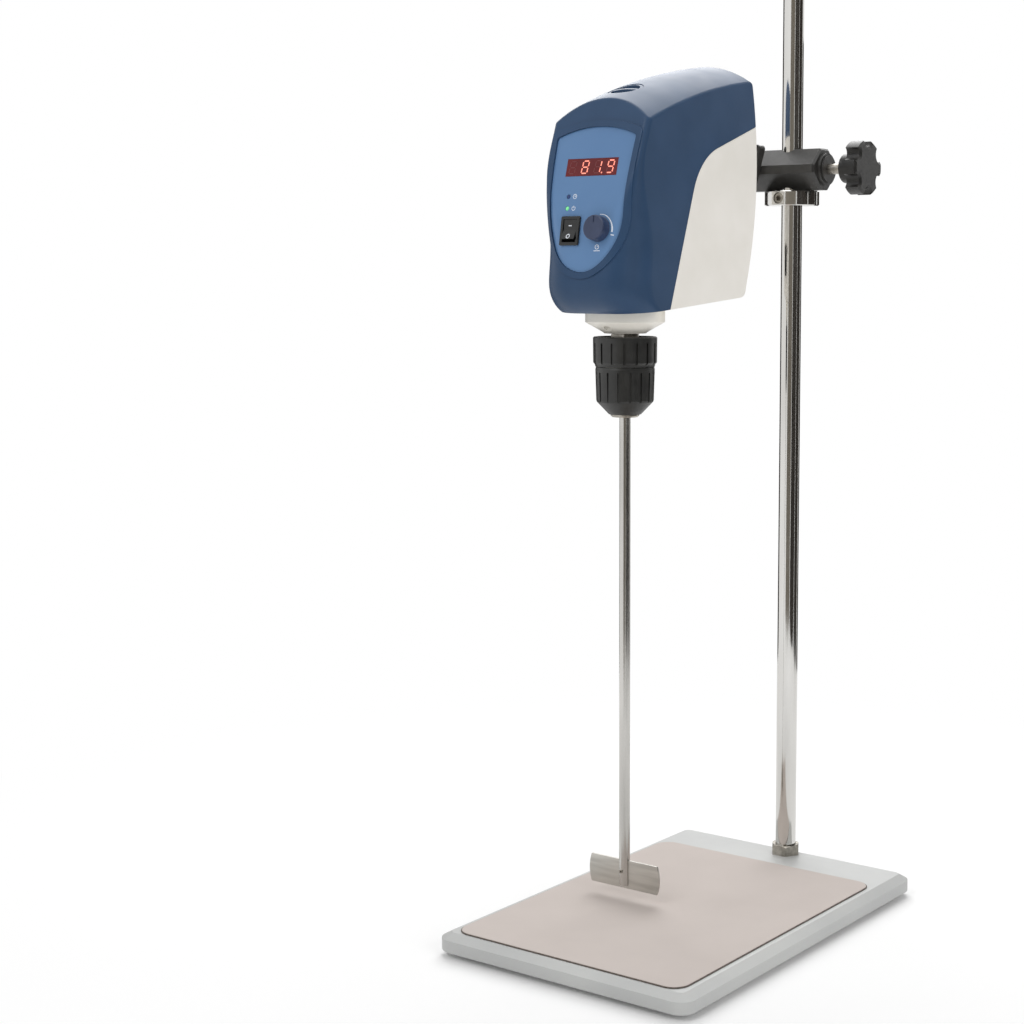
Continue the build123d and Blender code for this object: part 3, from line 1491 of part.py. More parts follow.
jaw_outer_low = jaw_axis_offset(nut_ring_low) + jaw_radius / cos(radians(jaw_angle)) + 0.15
jaw_outer_high = jaw_axis_offset(nut_ring_high) + jaw_radius / cos(radians(jaw_angle)) + 0.15
sleeve_inner_radius = chuck_core_radius + 0.15
with BuildPart() as chuck_nut_ring:
    with BuildSketch(spindle_axis_plane):
        with BuildLine():
            Polyline(
                (jaw_outer_low, nut_ring_low),
                (sleeve_inner_radius, nut_ring_low),
                (sleeve_inner_radius, nut_ring_high),
                (jaw_outer_high, nut_ring_high),
                close=True,
            )
        make_face()
    revolve(axis=spindle_axis)
save(chuck_nut_ring.part, "chuck_nut_ring")

nose_inner = nose_body_radius + nose_fit
with BuildPart() as chuck_front_sleeve:
    with BuildSketch(spindle_axis_plane):
        with BuildLine():
            Polyline(
                (nose_inner, sleeve_nose_level),
                (sleeve_nose_radius, sleeve_nose_level),
                (front_sleeve_low_radius - 0.5, sleeve_cone_level - 0.6),
                (front_sleeve_low_radius, sleeve_cone_level + 0.6),
                (front_sleeve_radius, chuck_seam - 1.6),
                (front_sleeve_radius - 0.4, chuck_seam),
                (sleeve_inner_radius, chuck_seam),
                (sleeve_inner_radius, sleeve_cone_level + 2.4),
                (mid_radius + 0.4, sleeve_cone_level - 1.4),
                (nose_inner, sleeve_cone_level - 5.0),
                close=True,
            )
        make_face()
    revolve(axis=spindle_axis)
    groove_low = sleeve_cone_level - 1.0
    groove_high = chuck_seam - 3.6
    with BuildSketch(Plane.XY.offset(groove_low)):
        with Locations(port_centre):
            with PolarLocations(front_sleeve_radius, sleeve_grooves):
                Rectangle(2 * sleeve_groove_depth, sleeve_groove_width)
    extrude(amount=groove_high - groove_low, mode=Mode.SUBTRACT)
save(chuck_front_sleeve.part, "chuck_front_sleeve")

rear_low = chuck_seam + chuck_seam_gap
with BuildPart() as chuck_rear_sleeve:
    with BuildSketch(spindle_axis_plane):
        with BuildLine():
            Polyline(
                (chuck_core_radius, rear_low),
                (front_sleeve_radius, rear_low),
                (front_sleeve_radius + 0.3, rear_low + 1.4),
                (rear_sleeve_radius - 0.2, rear_low + 3.0),
                (rear_sleeve_radius, chuck_rim - 0.8),
                (rear_sleeve_radius - 0.8, chuck_rim),
                (rear_sleeve_radius - 2.6, chuck_rim),
                (back_plate_radius, chuck_back),
                (back_plate_radius, chuck_back - back_plate_thick),
                (chuck_core_radius, chuck_back - back_plate_thick),
                close=True,
            )
        make_face()
    revolve(axis=spindle_axis)
    with BuildSketch(Plane.XY.offset(rear_low + 1.0)):
        with Locations(port_centre):
            with PolarLocations(rear_sleeve_radius, sleeve_grooves, start_angle=180 / sleeve_grooves):
                Rectangle(2 * sleeve_groove_depth, sleeve_groove_width)
    extrude(amount=chuck_rim - 4.4 - rear_low - 1.0, mode=Mode.SUBTRACT)
save(chuck_rear_sleeve.part, "chuck_rear_sleeve")

lock_nut_flats = 19.0
lock_nut_height = 4.3
with BuildPart() as chuck_lock_nut:
    with BuildSketch(Plane.XY.offset(chuck_back)):
        with Locations(port_centre):
            RegularPolygon(radius=lock_nut_flats / 2, side_count=6, major_radius=False)
            Circle(spindle_thread, mode=Mode.SUBTRACT)
    extrude(amount=lock_nut_height)
save(chuck_lock_nut.part, "chuck_lock_nut")

# ================================================================ stirring shaft, blade and grub screw
blade_fit = 0.05
blade_screw_radius = 1.5
blade_screw_level = blade_foot + blade_height * 0.62
with BuildPart() as stirrer_shaft:
    with BuildSketch(Plane.XY.offset(stir_foot)):
        with Locations(port_centre):
            Circle(stir_radius)
    extrude(amount=stir_length)
    chamfer(stirrer_shaft.faces().filter_by(Axis.Z).edges(), length=0.6)
    with BuildSketch(Plane.XY.offset(stir_foot)):
        with Locations(port_centre):
            Rectangle(4 * stir_radius, blade_thick + 2 * blade_fit)
    extrude(amount=blade_foot + blade_height + blade_fit - stir_foot, mode=Mode.SUBTRACT)
    with BuildSketch(spindle_axis_plane.offset(2 * stir_radius)):
        with Locations((0, blade_screw_level)):
            Circle(blade_screw_radius)
    extrude(amount=-4 * stir_radius, mode=Mode.SUBTRACT)
save(stirrer_shaft.part, "stirrer_shaft")

with BuildPart() as stirrer_blade:
    with BuildSketch(spindle_axis_plane):
        with Locations((0, blade_foot + blade_height / 2)):
            Circle(blade_length / 2)
            Rectangle(blade_length, blade_height, mode=Mode.INTERSECT)
        with Locations((0, blade_screw_level)):
            Circle(blade_screw_radius, mode=Mode.SUBTRACT)
    extrude(amount=blade_thick / 2, both=True)
save(stirrer_blade.part, "stirrer_blade")

with BuildPart() as blade_screw:
    with BuildSketch(spindle_axis_plane.offset(stir_radius + 0.5)):
        with Locations((0, blade_screw_level)):
            Circle(blade_screw_radius)
    extrude(amount=-2 * stir_radius)
    with BuildSketch(spindle_axis_plane.offset(stir_radius + 0.5)):
        with Locations((0, blade_screw_level)):
            RegularPolygon(radius=0.75, side_count=6, major_radius=False)
    extrude(amount=-1.5, mode=Mode.SUBTRACT)
save(blade_screw.part, "blade_screw")
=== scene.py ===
from math import cos, radians, sin, sqrt

import bmesh
import bpy
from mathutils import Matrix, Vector
from mathutils.bvhtree import BVHTree


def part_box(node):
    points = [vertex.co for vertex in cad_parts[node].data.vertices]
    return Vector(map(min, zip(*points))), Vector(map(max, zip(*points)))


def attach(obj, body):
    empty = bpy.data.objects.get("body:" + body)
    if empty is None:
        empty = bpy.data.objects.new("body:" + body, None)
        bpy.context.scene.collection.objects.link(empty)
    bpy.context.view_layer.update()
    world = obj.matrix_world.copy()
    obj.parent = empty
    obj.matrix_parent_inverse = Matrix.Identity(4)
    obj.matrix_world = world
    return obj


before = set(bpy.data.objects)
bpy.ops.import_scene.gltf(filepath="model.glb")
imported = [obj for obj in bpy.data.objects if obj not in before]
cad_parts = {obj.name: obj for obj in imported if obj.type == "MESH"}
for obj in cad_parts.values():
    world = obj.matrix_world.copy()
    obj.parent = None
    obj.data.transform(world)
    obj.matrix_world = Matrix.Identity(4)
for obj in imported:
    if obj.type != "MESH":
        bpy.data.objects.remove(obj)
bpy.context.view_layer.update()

mm = 0.001


# ---------------------------------------------------------------- base plate
# Steel slab under the whole stand, its upper rim ground to a bevel all round.
# Baked light grey paint with a fine orange peel and a faint drift in tone.

def srgb(red, green, blue):
    """A paint card's 0-255 reading as the shader's linear colour."""
    def linear(value):
        value /= 255
        return value / 12.92 if value <= 0.04045 else ((value + 0.055) / 1.055) ** 2.4
    return (linear(red), linear(green), linear(blue), 1.0)


def finish(name, roughness, metallic=0.0):
    """A new finish: the material, its node tree and its shader."""
    material = bpy.data.materials.new(name)
    material.use_nodes = True
    shader = material.node_tree.nodes["Principled BSDF"]
    shader.inputs["Roughness"].default_value = roughness
    shader.inputs["Metallic"].default_value = metallic
    return material, material.node_tree, shader


def grain(tree, density, stretch=(1, 1, 1), detail=3.0):
    """Noise in the piece's own coordinates, in features per millimetre."""
    place = tree.nodes.new("ShaderNodeTexCoord")
    spread = tree.nodes.new("ShaderNodeMapping")
    spread.inputs["Scale"].default_value = stretch
    noise = tree.nodes.new("ShaderNodeTexNoise")
    noise.inputs["Scale"].default_value = density / mm
    noise.inputs["Detail"].default_value = detail
    tree.links.new(place.outputs["Object"], spread.inputs["Vector"])
    tree.links.new(spread.outputs["Vector"], noise.inputs["Vector"])
    return noise.outputs["Fac"]


def tint(tree, shader, pattern, dark, light):
    """Colour that wanders between two tones along a pattern."""
    ramp = tree.nodes.new("ShaderNodeValToRGB")
    ramp.color_ramp.elements[0].position = 0.35
    ramp.color_ramp.elements[0].color = dark
    ramp.color_ramp.elements[1].position = 0.65
    ramp.color_ramp.elements[1].color = light
    tree.links.new(pattern, ramp.inputs["Fac"])
    tree.links.new(ramp.outputs["Color"], shader.inputs["Base Color"])


def polish(tree, shader, pattern, smooth, rough):
    """Roughness that follows a pattern."""
    spread = tree.nodes.new("ShaderNodeMapRange")
    spread.inputs["From Min"].default_value = 0.3
    spread.inputs["From Max"].default_value = 0.7
    spread.inputs["To Min"].default_value = smooth
    spread.inputs["To Max"].default_value = rough
    tree.links.new(pattern, spread.inputs["Value"])
    tree.links.new(spread.outputs["Result"], shader.inputs["Roughness"])


def relief(tree, shader, pattern, depth, strength=1.0):
    """Fine relief, its depth in millimetres."""
    bump = tree.nodes.new("ShaderNodeBump")
    bump.inputs["Distance"].default_value = depth * mm
    bump.inputs["Strength"].default_value = strength
    tree.links.new(pattern, bump.inputs["Height"])
    tree.links.new(bump.outputs["Normal"], shader.inputs["Normal"])


def wear(node, material):
    """Gives a carried-over CAD piece its finish."""
    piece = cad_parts[node]
    for place in piece.material_slots:
        place.link = "OBJECT"
        place.material = material
    return piece


plate_paint, tree, shader = finish("plate_paint", 0.42)
tint(tree, shader, grain(tree, 0.012, detail=4), srgb(190, 191, 190), srgb(200, 201, 199))
polish(tree, shader, grain(tree, 0.05), 0.36, 0.50)
relief(tree, shader, grain(tree, 0.8), 0.03, 0.5)
wear("base_plate", plate_paint)

# ---------------------------------------------------------------- mat
# Vulcanised rubber sheet glued to the plate to keep glassware from sliding.
# Its upper face is pale; the core shows dark along the cut edge, all round the sheet.
mat_rubber, tree, shader = finish("mat_rubber", 0.80)
tint(tree, shader, grain(tree, 0.02, detail=5), srgb(198, 188, 182), srgb(202, 192, 186))
relief(tree, shader, grain(tree, 2.5), 0.05, 0.6)
wear("base_mat", mat_rubber)


def loop_round(low, high, corner, level, steps=10):
    """Points of a level rectangle with round corners, in metres."""
    points = []
    centres = ((high.x - corner, high.y - corner, 0), (low.x + corner, high.y - corner, 90),
               (low.x + corner, low.y + corner, 180), (high.x - corner, low.y + corner, 270))
    for x, y, start in centres:
        for step in range(steps + 1):
            turn = radians(start + 90 * step / steps)
            points.append((x + corner * cos(turn), y + corner * sin(turn), level))
    return points


def bead(name, points, radius, material):
    """Closed round strand along points, radius in metres."""
    line = bpy.data.curves.new(name, "CURVE")
    line.dimensions = "3D"
    spline = line.splines.new("POLY")
    spline.points.add(len(points) - 1)
    for point, where in zip(spline.points, points):
        point.co = (*where, 1)
    spline.use_cyclic_u = True
    line.bevel_depth = radius
    line.bevel_resolution = 3
    line.use_fill_caps = False
    line.materials.append(material)
    piece = bpy.data.objects.new(name, line)
    bpy.context.scene.collection.objects.link(piece)
    return piece


mat_cut, tree, shader = finish("mat_cut_edge", 0.85)
tint(tree, shader, grain(tree, 0.4), srgb(88, 80, 74), srgb(120, 110, 102))
mat_corner = 12 * mm
cut_depth = 0.75 * mm     # the mat's upper face to the middle of the dark core
cut_radius = 0.55 * mm
mat_low, mat_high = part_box("base_mat")
cut_line = loop_round(mat_low, mat_high, mat_corner, mat_high.z - cut_depth)
mat_edge = bead("mat_edge", cut_line, cut_radius, mat_cut)
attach(mat_edge, "stand")

# ---------------------------------------------------------------- feet and what fastens under the plate
# Four moulded rubber feet, each held by a flat-headed steel screw sunk in it from below.
# The rod's own screw and washer sit in a pocket under the plate, and its hexagon nut on top of it.
foot_rubber, tree, shader = finish("foot_rubber", 0.75)
tint(tree, shader, grain(tree, 0.3), srgb(28, 28, 30), srgb(40, 40, 42))
relief(tree, shader, grain(tree, 1.5), 0.05)
wear("base_feet", foot_rubber)

plain_steel, tree, shader = finish("plain_steel", 0.34, 1.0)
tint(tree, shader, grain(tree, 0.25), srgb(150, 146, 138), srgb(186, 181, 172))
polish(tree, shader, grain(tree, 0.9), 0.26, 0.42)
relief(tree, shader, grain(tree, 2.0), 0.01)
for node in ("foot_screws", "rod_base_screw", "rod_base_washer", "rod_nut"):
    wear(node, plain_steel)

# ---------------------------------------------------------------- rod and stop ring
# Centreless-ground steel rod with a bright chrome plate; the ring under the clamp has the same plate.
# The ring is turned, slit on one side and held on the rod by a socket set screw in its front.
bright_chrome, tree, shader = finish("bright_chrome", 0.10, 1.0)
tint(tree, shader, grain(tree, 0.05, (1, 1, 0.1)), srgb(205, 203, 199), srgb(222, 221, 218))
polish(tree, shader, grain(tree, 0.4, (1, 1, 0.05)), 0.05, 0.13)
relief(tree, shader, grain(tree, 1.2, (1, 1, 0.02)), 0.002)
for node in ("stand_rod", "stop_ring"):
    wear(node, bright_chrome)
wear("stop_ring_screw", plain_steel)

# ---------------------------------------------------------------- clamp
# Two crossed bores in one aluminium casting, sprayed satin black, with a ribbed jaw plate towards the head.
# Each bore has a star knob moulded onto a steel screw, which presses a loose pad on the rod or the arm.
black_casting, tree, shader = finish("black_casting", 0.40)
tint(tree, shader, grain(tree, 0.06, detail=5), srgb(36, 35, 33), srgb(50, 49, 47))
polish(tree, shader, grain(tree, 0.25), 0.34, 0.46)
shader.inputs["Specular IOR Level"].default_value = 0.7
relief(tree, shader, grain(tree, 1.1), 0.05, 0.7)
for node in ("clamp_boss", "arm_jaw"):
    wear(node, black_casting)

black_plastic, tree, shader = finish("black_plastic", 0.40)
tint(tree, shader, grain(tree, 0.08), srgb(26, 25, 24), srgb(37, 36, 34))
polish(tree, shader, grain(tree, 0.6), 0.30, 0.42)
relief(tree, shader, grain(tree, 2.0), 0.02)
for side in ("rod", "arm"):
    wear(side + "_clamp_pad", plain_steel)
    wear(side + "_clamp_screw", plain_steel)
    wear(side + "_clamp_knob", black_plastic)

# ---------------------------------------------------------------- arm and chassis
# Turned and chromed steel arm held in the block of an aluminium casting by two grub screws.
# The casting carries the spindle's bearings, the motor and the rear cover, and is hidden when closed.
wear("mounting_arm", bright_chrome)
wear("arm_screws", plain_steel)
cast_aluminium, tree, shader = finish("cast_aluminium", 0.5, 1.0)
tint(tree, shader, grain(tree, 0.1), srgb(176, 177, 178), srgb(196, 197, 198))
relief(tree, shader, grain(tree, 0.9), 0.06)
wear("chassis", cast_aluminium)

# ---------------------------------------------------------------- spindle, bearings, pulleys, belt and motor
# Ground spindle in two sealed ball bearings, driven by a flat belt from the motor's small pulley.
# All of it stands inside the head; only the spindle's end comes out through the collar.
for node in ("spindle", "motor_shaft", "motor_screws", "collar_screws", "upper_bearing", "lower_bearing"):
    wear(node, plain_steel)
turned_aluminium, tree, shader = finish("turned_aluminium", 0.3, 1.0)
tint(tree, shader, grain(tree, 0.6, (0.2, 0.2, 1)), srgb(190, 191, 192), srgb(214, 215, 216))
for node in ("spindle_pulley", "motor_pulley", "encoder_shaft"):
    wear(node, turned_aluminium)
belt_rubber, tree, shader = finish("belt_rubber", 0.8)
tint(tree, shader, grain(tree, 0.5), srgb(22, 22, 22), srgb(36, 36, 36))
wear("drive_belt", belt_rubber)
motor_lacquer, tree, shader = finish("motor_lacquer", 0.35)
tint(tree, shader, grain(tree, 0.2), srgb(44, 45, 48), srgb(56, 57, 60))
wear("motor", motor_lacquer)

# ---------------------------------------------------------------- bearing collar
# Turned collar that closes the head below and seats the lower bearing.
# Painted like the rear cover and held by three screws from below.
collar_paint, tree, shader = finish("collar_paint", 0.38)
tint(tree, shader, grain(tree, 0.05), srgb(230, 226, 216), srgb(238, 234, 225))
relief(tree, shader, grain(tree, 1.4), 0.02)
wear("bearing_collar", collar_paint)

# ---------------------------------------------------------------- front housing, port cap and rear cover
# Two ABS mouldings that meet in a seam: slate blue in front and over the crown, warm off-white behind.
# The blue one and the cap that plugs its port are satin; the pale one has a fine spark-eroded grain.
# Four screws hold the pale one to the casting from behind.
slate_plastic, tree, shader = finish("slate_plastic", 0.42)
tint(tree, shader, grain(tree, 0.03, detail=4), srgb(39, 66, 97), srgb(44, 71, 103))
polish(tree, shader, grain(tree, 0.05, detail=1), 0.40, 0.45)
shader.inputs["Specular IOR Level"].default_value = 0.30
for node in ("front_housing", "shaft_port_cap"):
    wear(node, slate_plastic)

pale_plastic, tree, shader = finish("pale_plastic", 0.40)
tint(tree, shader, grain(tree, 0.03, detail=4), srgb(236, 232, 224), srgb(241, 237, 230))
polish(tree, shader, grain(tree, 0.2), 0.36, 0.48)
relief(tree, shader, grain(tree, 2.2, detail=2), 0.03, 0.5)
wear("rear_cover", pale_plastic)
wear("cover_screws", plain_steel)

# ---------------------------------------------------------------- power inlet
# Moulded mains socket let into the rear cover, its flange outside on the cover's face.
# Black polyamide, with three contact blades standing in the cavity.
wear("power_inlet", black_plastic)

# ---------------------------------------------------------------- circuit board and its parts
# Glass-epoxy laminate board in green lacquer, screwed to three posts of the housing behind the panel.
# It carries the display, the two lamps and the speed encoder, both blocks moulded in black.
board_laminate, tree, shader = finish("board_laminate", 0.4)
tint(tree, shader, grain(tree, 0.3), srgb(20, 92, 54), srgb(30, 112, 66))
wear("main_board", board_laminate)
wear("board_screws", plain_steel)
for node in ("display_module", "speed_encoder"):
    wear(node, black_plastic)

# ---------------------------------------------------------------- control panel
# Back-printed polycarbonate overlay in mid blue, cut through for the window, switch, knob and lamps.
# It is glued into a shallow seat of the housing, so its rim stands just below the bezel.
panel_overlay, tree, shader = finish("panel_overlay", 0.34)
tint(tree, shader, grain(tree, 0.02), srgb(94, 130, 174), srgb(100, 136, 179))
relief(tree, shader, grain(tree, 1.6), 0.015)
shader.inputs["Specular IOR Level"].default_value = 0.3
wear("control_panel", panel_overlay)

# ---------------------------------------------------------------- panel print
# Screen-printed white marks: the dial's scale, a dial sign below it and a sign beside each lamp.
# Ink lies on the overlay, so every mark follows its curve.
white_ink, tree, shader = finish("white_ink", 0.45)
tint(tree, shader, grain(tree, 0.8), srgb(226, 232, 242), srgb(240, 244, 250))


def surface_of(node):
    """The carried-over piece's faces, to lay a mark on."""
    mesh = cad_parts[node].data
    corners = [vertex.co for vertex in mesh.vertices]
    return BVHTree.FromPolygons(corners, [face.vertices[:] for face in mesh.polygons])


def bar(x0, z0, x1, z1, width, parts=4):
    """Straight stroke in front view, as pairs of points across its width."""
    length = sqrt((x1 - x0) ** 2 + (z1 - z0) ** 2)
    side_x, side_z = -(z1 - z0) / length * width / 2, (x1 - x0) / length * width / 2
    pairs = []
    for step in range(parts + 1):
        x, z = x0 + (x1 - x0) * step / parts, z0 + (z1 - z0) * step / parts
        pairs.append(((x + side_x, z + side_z), (x - side_x, z - side_z)))
    return pairs


def arc(x, z, radius, start, end, width, end_width=None):
    """Curved stroke about (x, z), angles in degrees from the right, widening to its end."""
    end_width = width if end_width is None else end_width
    parts = max(4, int(abs(end - start) / 9))
    pairs = []
    for step in range(parts + 1):
        share = step / parts
        turn = radians(start + (end - start) * share)
        half = (width + (end_width - width) * share) / 2
        pairs.append(((x + (radius + half) * cos(turn), z + (radius + half) * sin(turn)),
                      (x + (radius - half) * cos(turn), z + (radius - half) * sin(turn))))
    return pairs


ahead_of_head = -0.2     # metres, clear of every front face
ink_hold = 0.04          # millimetres, how far a mark reaches into its piece
ink_sides = ((0, 2), (2, 3), (3, 1), (1, 0))


def laid_on(name, node, strokes, material, body, rise=0.05):
    """One piece of ink or film: strokes in millimetres in front view, laid on a node's front."""
    surface = surface_of(node)
    solid = bmesh.new()
    for stroke in strokes:
        rows = []
        for pair in stroke:
            row = []
            for x, z in pair:
                start = Vector((x * mm, ahead_of_head, z * mm))
                hit = surface.ray_cast(start, Vector((0, 1, 0)))[0]
                for depth in (-rise, ink_hold):
                    row.append(solid.verts.new((x * mm, hit.y + depth * mm, z * mm)))
            rows.append(row)
        for here, after in zip(rows, rows[1:]):
            for i, j in ink_sides:
                solid.faces.new((here[i], here[j], after[j], after[i]))
        first, last = rows[0], rows[-1]
        solid.faces.new((first[0], first[1], first[3], first[2]))
        solid.faces.new((last[2], last[3], last[1], last[0]))
    bmesh.ops.recalc_face_normals(solid, faces=solid.faces)
    mesh = bpy.data.meshes.new(name)
    solid.to_mesh(mesh)
    solid.free()
    mesh.materials.append(material)
    piece = bpy.data.objects.new(name, mesh)
    bpy.context.scene.collection.objects.link(piece)
    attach(piece, body)
    return piece


head_x = -38.0                     # middle of the head
dial_x, dial_z = head_x + 13.5, 505.0
scale_radius, scale_top, scale_bottom = 10.1, 96, -12
scale_thin, scale_thick = 0.35, 1.1
tick_in, tick_out, tick_drop, tick_slant, tick_width = 9.1, 11.4, 3.9, 0.4, 0.7
scale_arc = [
    arc(dial_x, dial_z, scale_radius, scale_top, scale_bottom, scale_thin, scale_thick),
    bar(dial_x + tick_in, dial_z - tick_drop, dial_x + tick_out, dial_z - tick_drop - tick_slant, tick_width),
]
laid_on("dial_scale", "control_panel", scale_arc, white_ink, "head")

thin_line = 0.45
knob_sign_x, knob_sign_z, knob_sign_radius = dial_x - 1.0, dial_z - 12.2, 1.5
pointer_reach = 0.8
rule_left, rule_right, rule_z, rule_width = dial_x - 3.6, dial_x + 1.6, dial_z - 14.8, 0.5
dial_sign = [
    arc(knob_sign_x, knob_sign_z, knob_sign_radius, 0, 360, thin_line),
    bar(knob_sign_x, knob_sign_z, knob_sign_x + pointer_reach, knob_sign_z + pointer_reach, thin_line),
    bar(rule_left, rule_z, rule_right, rule_z, rule_width),
]
laid_on("dial_sign", "control_panel", dial_sign, white_ink, "head")

lamp_sign_x = head_x - 10.8
sign_line = 0.4
timer_z, timer_radius = 527.8, 1.5
minute_hand, hour_hand = 1.1, 0.9
clock_sign = [
    arc(lamp_sign_x, timer_z, timer_radius, 0, 360, sign_line),
    bar(lamp_sign_x, timer_z, lamp_sign_x, timer_z + minute_hand, sign_line),
    bar(lamp_sign_x, timer_z, lamp_sign_x + hour_hand, timer_z, sign_line),
]
laid_on("timer_sign", "control_panel", clock_sign, white_ink, "head")

power_z, power_radius = 519.6, 1.4
power_open, power_close = 125, 415     # the ring is left open above
stem_low, stem_high = 0.2, 1.8
power_sign = [
    arc(lamp_sign_x, power_z, power_radius, power_open, power_close, sign_line),
    bar(lamp_sign_x, power_z + stem_low, lamp_sign_x, power_z + stem_high, sign_line),
]
laid_on("power_sign", "control_panel", power_sign, white_ink, "head")

# ---------------------------------------------------------------- display window
# Smoked red acrylic pane glued into the panel, over a four-place seven-segment module.
# Lit segments glow light red through it and the dead ones show only just darker than the pane.
smoked_pane, tree, shader = finish("smoked_pane", 0.22)
tint(tree, shader, grain(tree, 0.03), srgb(98, 26, 30), srgb(112, 32, 34))
shader.inputs["Specular IOR Level"].default_value = 0.3
wear("display_window", smoked_pane)

lit_segment, tree, shader = finish("lit_segment", 0.4)
tint(tree, shader, grain(tree, 0.5), srgb(250, 140, 120), srgb(255, 156, 134))
shader.inputs["Emission Color"].default_value = srgb(255, 146, 124)
shader.inputs["Emission Strength"].default_value = 0.75
dead_segment, tree, shader = finish("dead_segment", 0.3)
tint(tree, shader, grain(tree, 0.5), srgb(98, 25, 29), srgb(110, 31, 33))

digit_width, digit_height, stroke_width, digit_lean = 4.9, 8.8, 0.85, 0.12
segment_gap = 0.62       # drawn in at each end of a segment
front_share = 0.96       # of its own height, which a digit on the leaning pane keeps in front view
segment_ends = {
    "a": (0.5, 1, -0.5, 1), "b": (0.5, 1, 0.5, 0), "c": (0.5, 0, 0.5, -1), "d": (0.5, -1, -0.5, -1),
    "e": (-0.5, -1, -0.5, 0), "f": (-0.5, 0, -0.5, 1), "g": (-0.5, 0, 0.5, 0),
}
window_z = 547.9
third_place = 5.1
digit_places = ((-16.4, ""), (-5.6, "abcdefg"), (third_place, "bc"), (15.9, "abcdfg"))


def segment(middle, letter):
    """One segment's stroke, its ends drawn in so that neighbours don't touch."""
    x0, z0, x1, z1 = segment_ends[letter]
    ends = []
    for x, z, other_x, other_z in ((x0, z0, x1, z1), (x1, z1, x0, z0)):
        x, z = x * digit_width, z * digit_height / 2
        other_x, other_z = other_x * digit_width, other_z * digit_height / 2
        reach = sqrt((other_x - x) ** 2 + (other_z - z) ** 2)
        draw = segment_gap / reach
        x, z = x + (other_x - x) * draw, z + (other_z - z) * draw
        ends += [head_x + middle + x + digit_lean * z, window_z + z * front_share]
    return bar(*ends, stroke_width, 2)


lit, dead = [], []
for middle, shown in digit_places:
    for letter in segment_ends:
        (lit if letter in shown else dead).append(segment(middle, letter))
point_x, point_z = head_x + third_place + 3.9, window_z - 4.1
point_radius, point_width = 0.28, 0.55
lit.append(arc(point_x, point_z, point_radius, 0, 360, point_width))
laid_on("display_lit", "display_window", lit, lit_segment, "head")
laid_on("display_dead", "display_window", dead, dead_segment, "head", rise=0.03)

# ---------------------------------------------------------------- lamps
# Two small domed lamps that stand on the board and look out through holes in the panel.
# Tinted epoxy: the blue upper one is out and the green lower one is lit.
lamp_blue, tree, shader = finish("lamp_blue", 0.18)
tint(tree, shader, grain(tree, 0.6), srgb(34, 58, 110), srgb(46, 74, 132))
wear("upper_lamp", lamp_blue)
lamp_green, tree, shader = finish("lamp_green", 0.18)
tint(tree, shader, grain(tree, 0.6), srgb(96, 196, 128), srgb(150, 226, 160))
shader.inputs["Emission Color"].default_value = srgb(110, 220, 140)
shader.inputs["Emission Strength"].default_value = 0.45
wear("lower_lamp", lamp_green)

# ---------------------------------------------------------------- power switch
# Snap-in rocker switch, its frame and its rocker moulded in glossy black polyamide.
# A bar for on and a ring for off are hot-stamped white on the rocker.
switch_black, tree, shader = finish("switch_black", 0.26)
tint(tree, shader, grain(tree, 0.1), srgb(17, 18, 19), srgb(25, 26, 27))
polish(tree, shader, grain(tree, 0.4), 0.20, 0.30)
wear("power_switch", switch_black)
wear("power_rocker", switch_black)
rocker_x, on_z, off_z = head_x - 11.2, 507.6, 500.4
sign_half, on_width, off_width = 1.3, 0.7, 0.65
on_sign = [bar(rocker_x - sign_half, on_z, rocker_x + sign_half, on_z, on_width)]
laid_on("rocker_on_sign", "power_rocker", on_sign, white_ink, "rocker")
off_sign = [arc(rocker_x, off_z, sign_half, 0, 360, off_width)]
laid_on("rocker_off_sign", "power_rocker", off_sign, white_ink, "rocker")

# ---------------------------------------------------------------- speed knob
# Dark blue moulded knob with a slight taper, pressed on the encoder's shaft.
# A short groove moulded in its face is the pointer.
knob_plastic, tree, shader = finish("knob_plastic", 0.36)
tint(tree, shader, grain(tree, 0.08), srgb(40, 52, 80), srgb(48, 60, 90))
polish(tree, shader, grain(tree, 0.5), 0.30, 0.42)
wear("speed_knob", knob_plastic)

# ---------------------------------------------------------------- chuck
# Keyless chuck: a steel body with three slanting jaws, which a nut ring drives with the front sleeve.
# Both sleeves are glass-filled nylon with moulded grooves; a lock nut holds the body on the spindle.
for node in ("chuck_body", "chuck_jaw_1", "chuck_jaw_2", "chuck_jaw_3", "chuck_nut_ring", "chuck_lock_nut"):
    wear(node, plain_steel)
chuck_nylon, tree, shader = finish("chuck_nylon", 0.46)
tint(tree, shader, grain(tree, 0.1), srgb(28, 28, 27), srgb(40, 40, 38))
polish(tree, shader, grain(tree, 0.6), 0.32, 0.44)
relief(tree, shader, grain(tree, 1.8), 0.03)
for node in ("chuck_front_sleeve", "chuck_rear_sleeve"):
    wear(node, chuck_nylon)

# ---------------------------------------------------------------- stirrer
# Ground stainless shaft with a slot sawn in its end, and a sheet blade held in it by one screw.
stainless, tree, shader = finish("stainless", 0.18, 1.0)
tint(tree, shader, grain(tree, 0.08, (1, 1, 0.1)), srgb(186, 184, 180), srgb(206, 204, 200))
polish(tree, shader, grain(tree, 0.6, (1, 1, 0.04)), 0.12, 0.24)
relief(tree, shader, grain(tree, 1.5, (1, 1, 0.03)), 0.003)
wear("stirrer_shaft", stainless)
blade_steel, tree, shader = finish("blade_steel", 0.34, 1.0)
tint(tree, shader, grain(tree, 0.2, (0.1, 1, 1)), srgb(178, 176, 170), srgb(200, 198, 192))
relief(tree, shader, grain(tree, 1.2, (0.05, 1, 1)), 0.01)
wear("stirrer_blade", blade_steel)
wear("blade_screw", plain_steel)

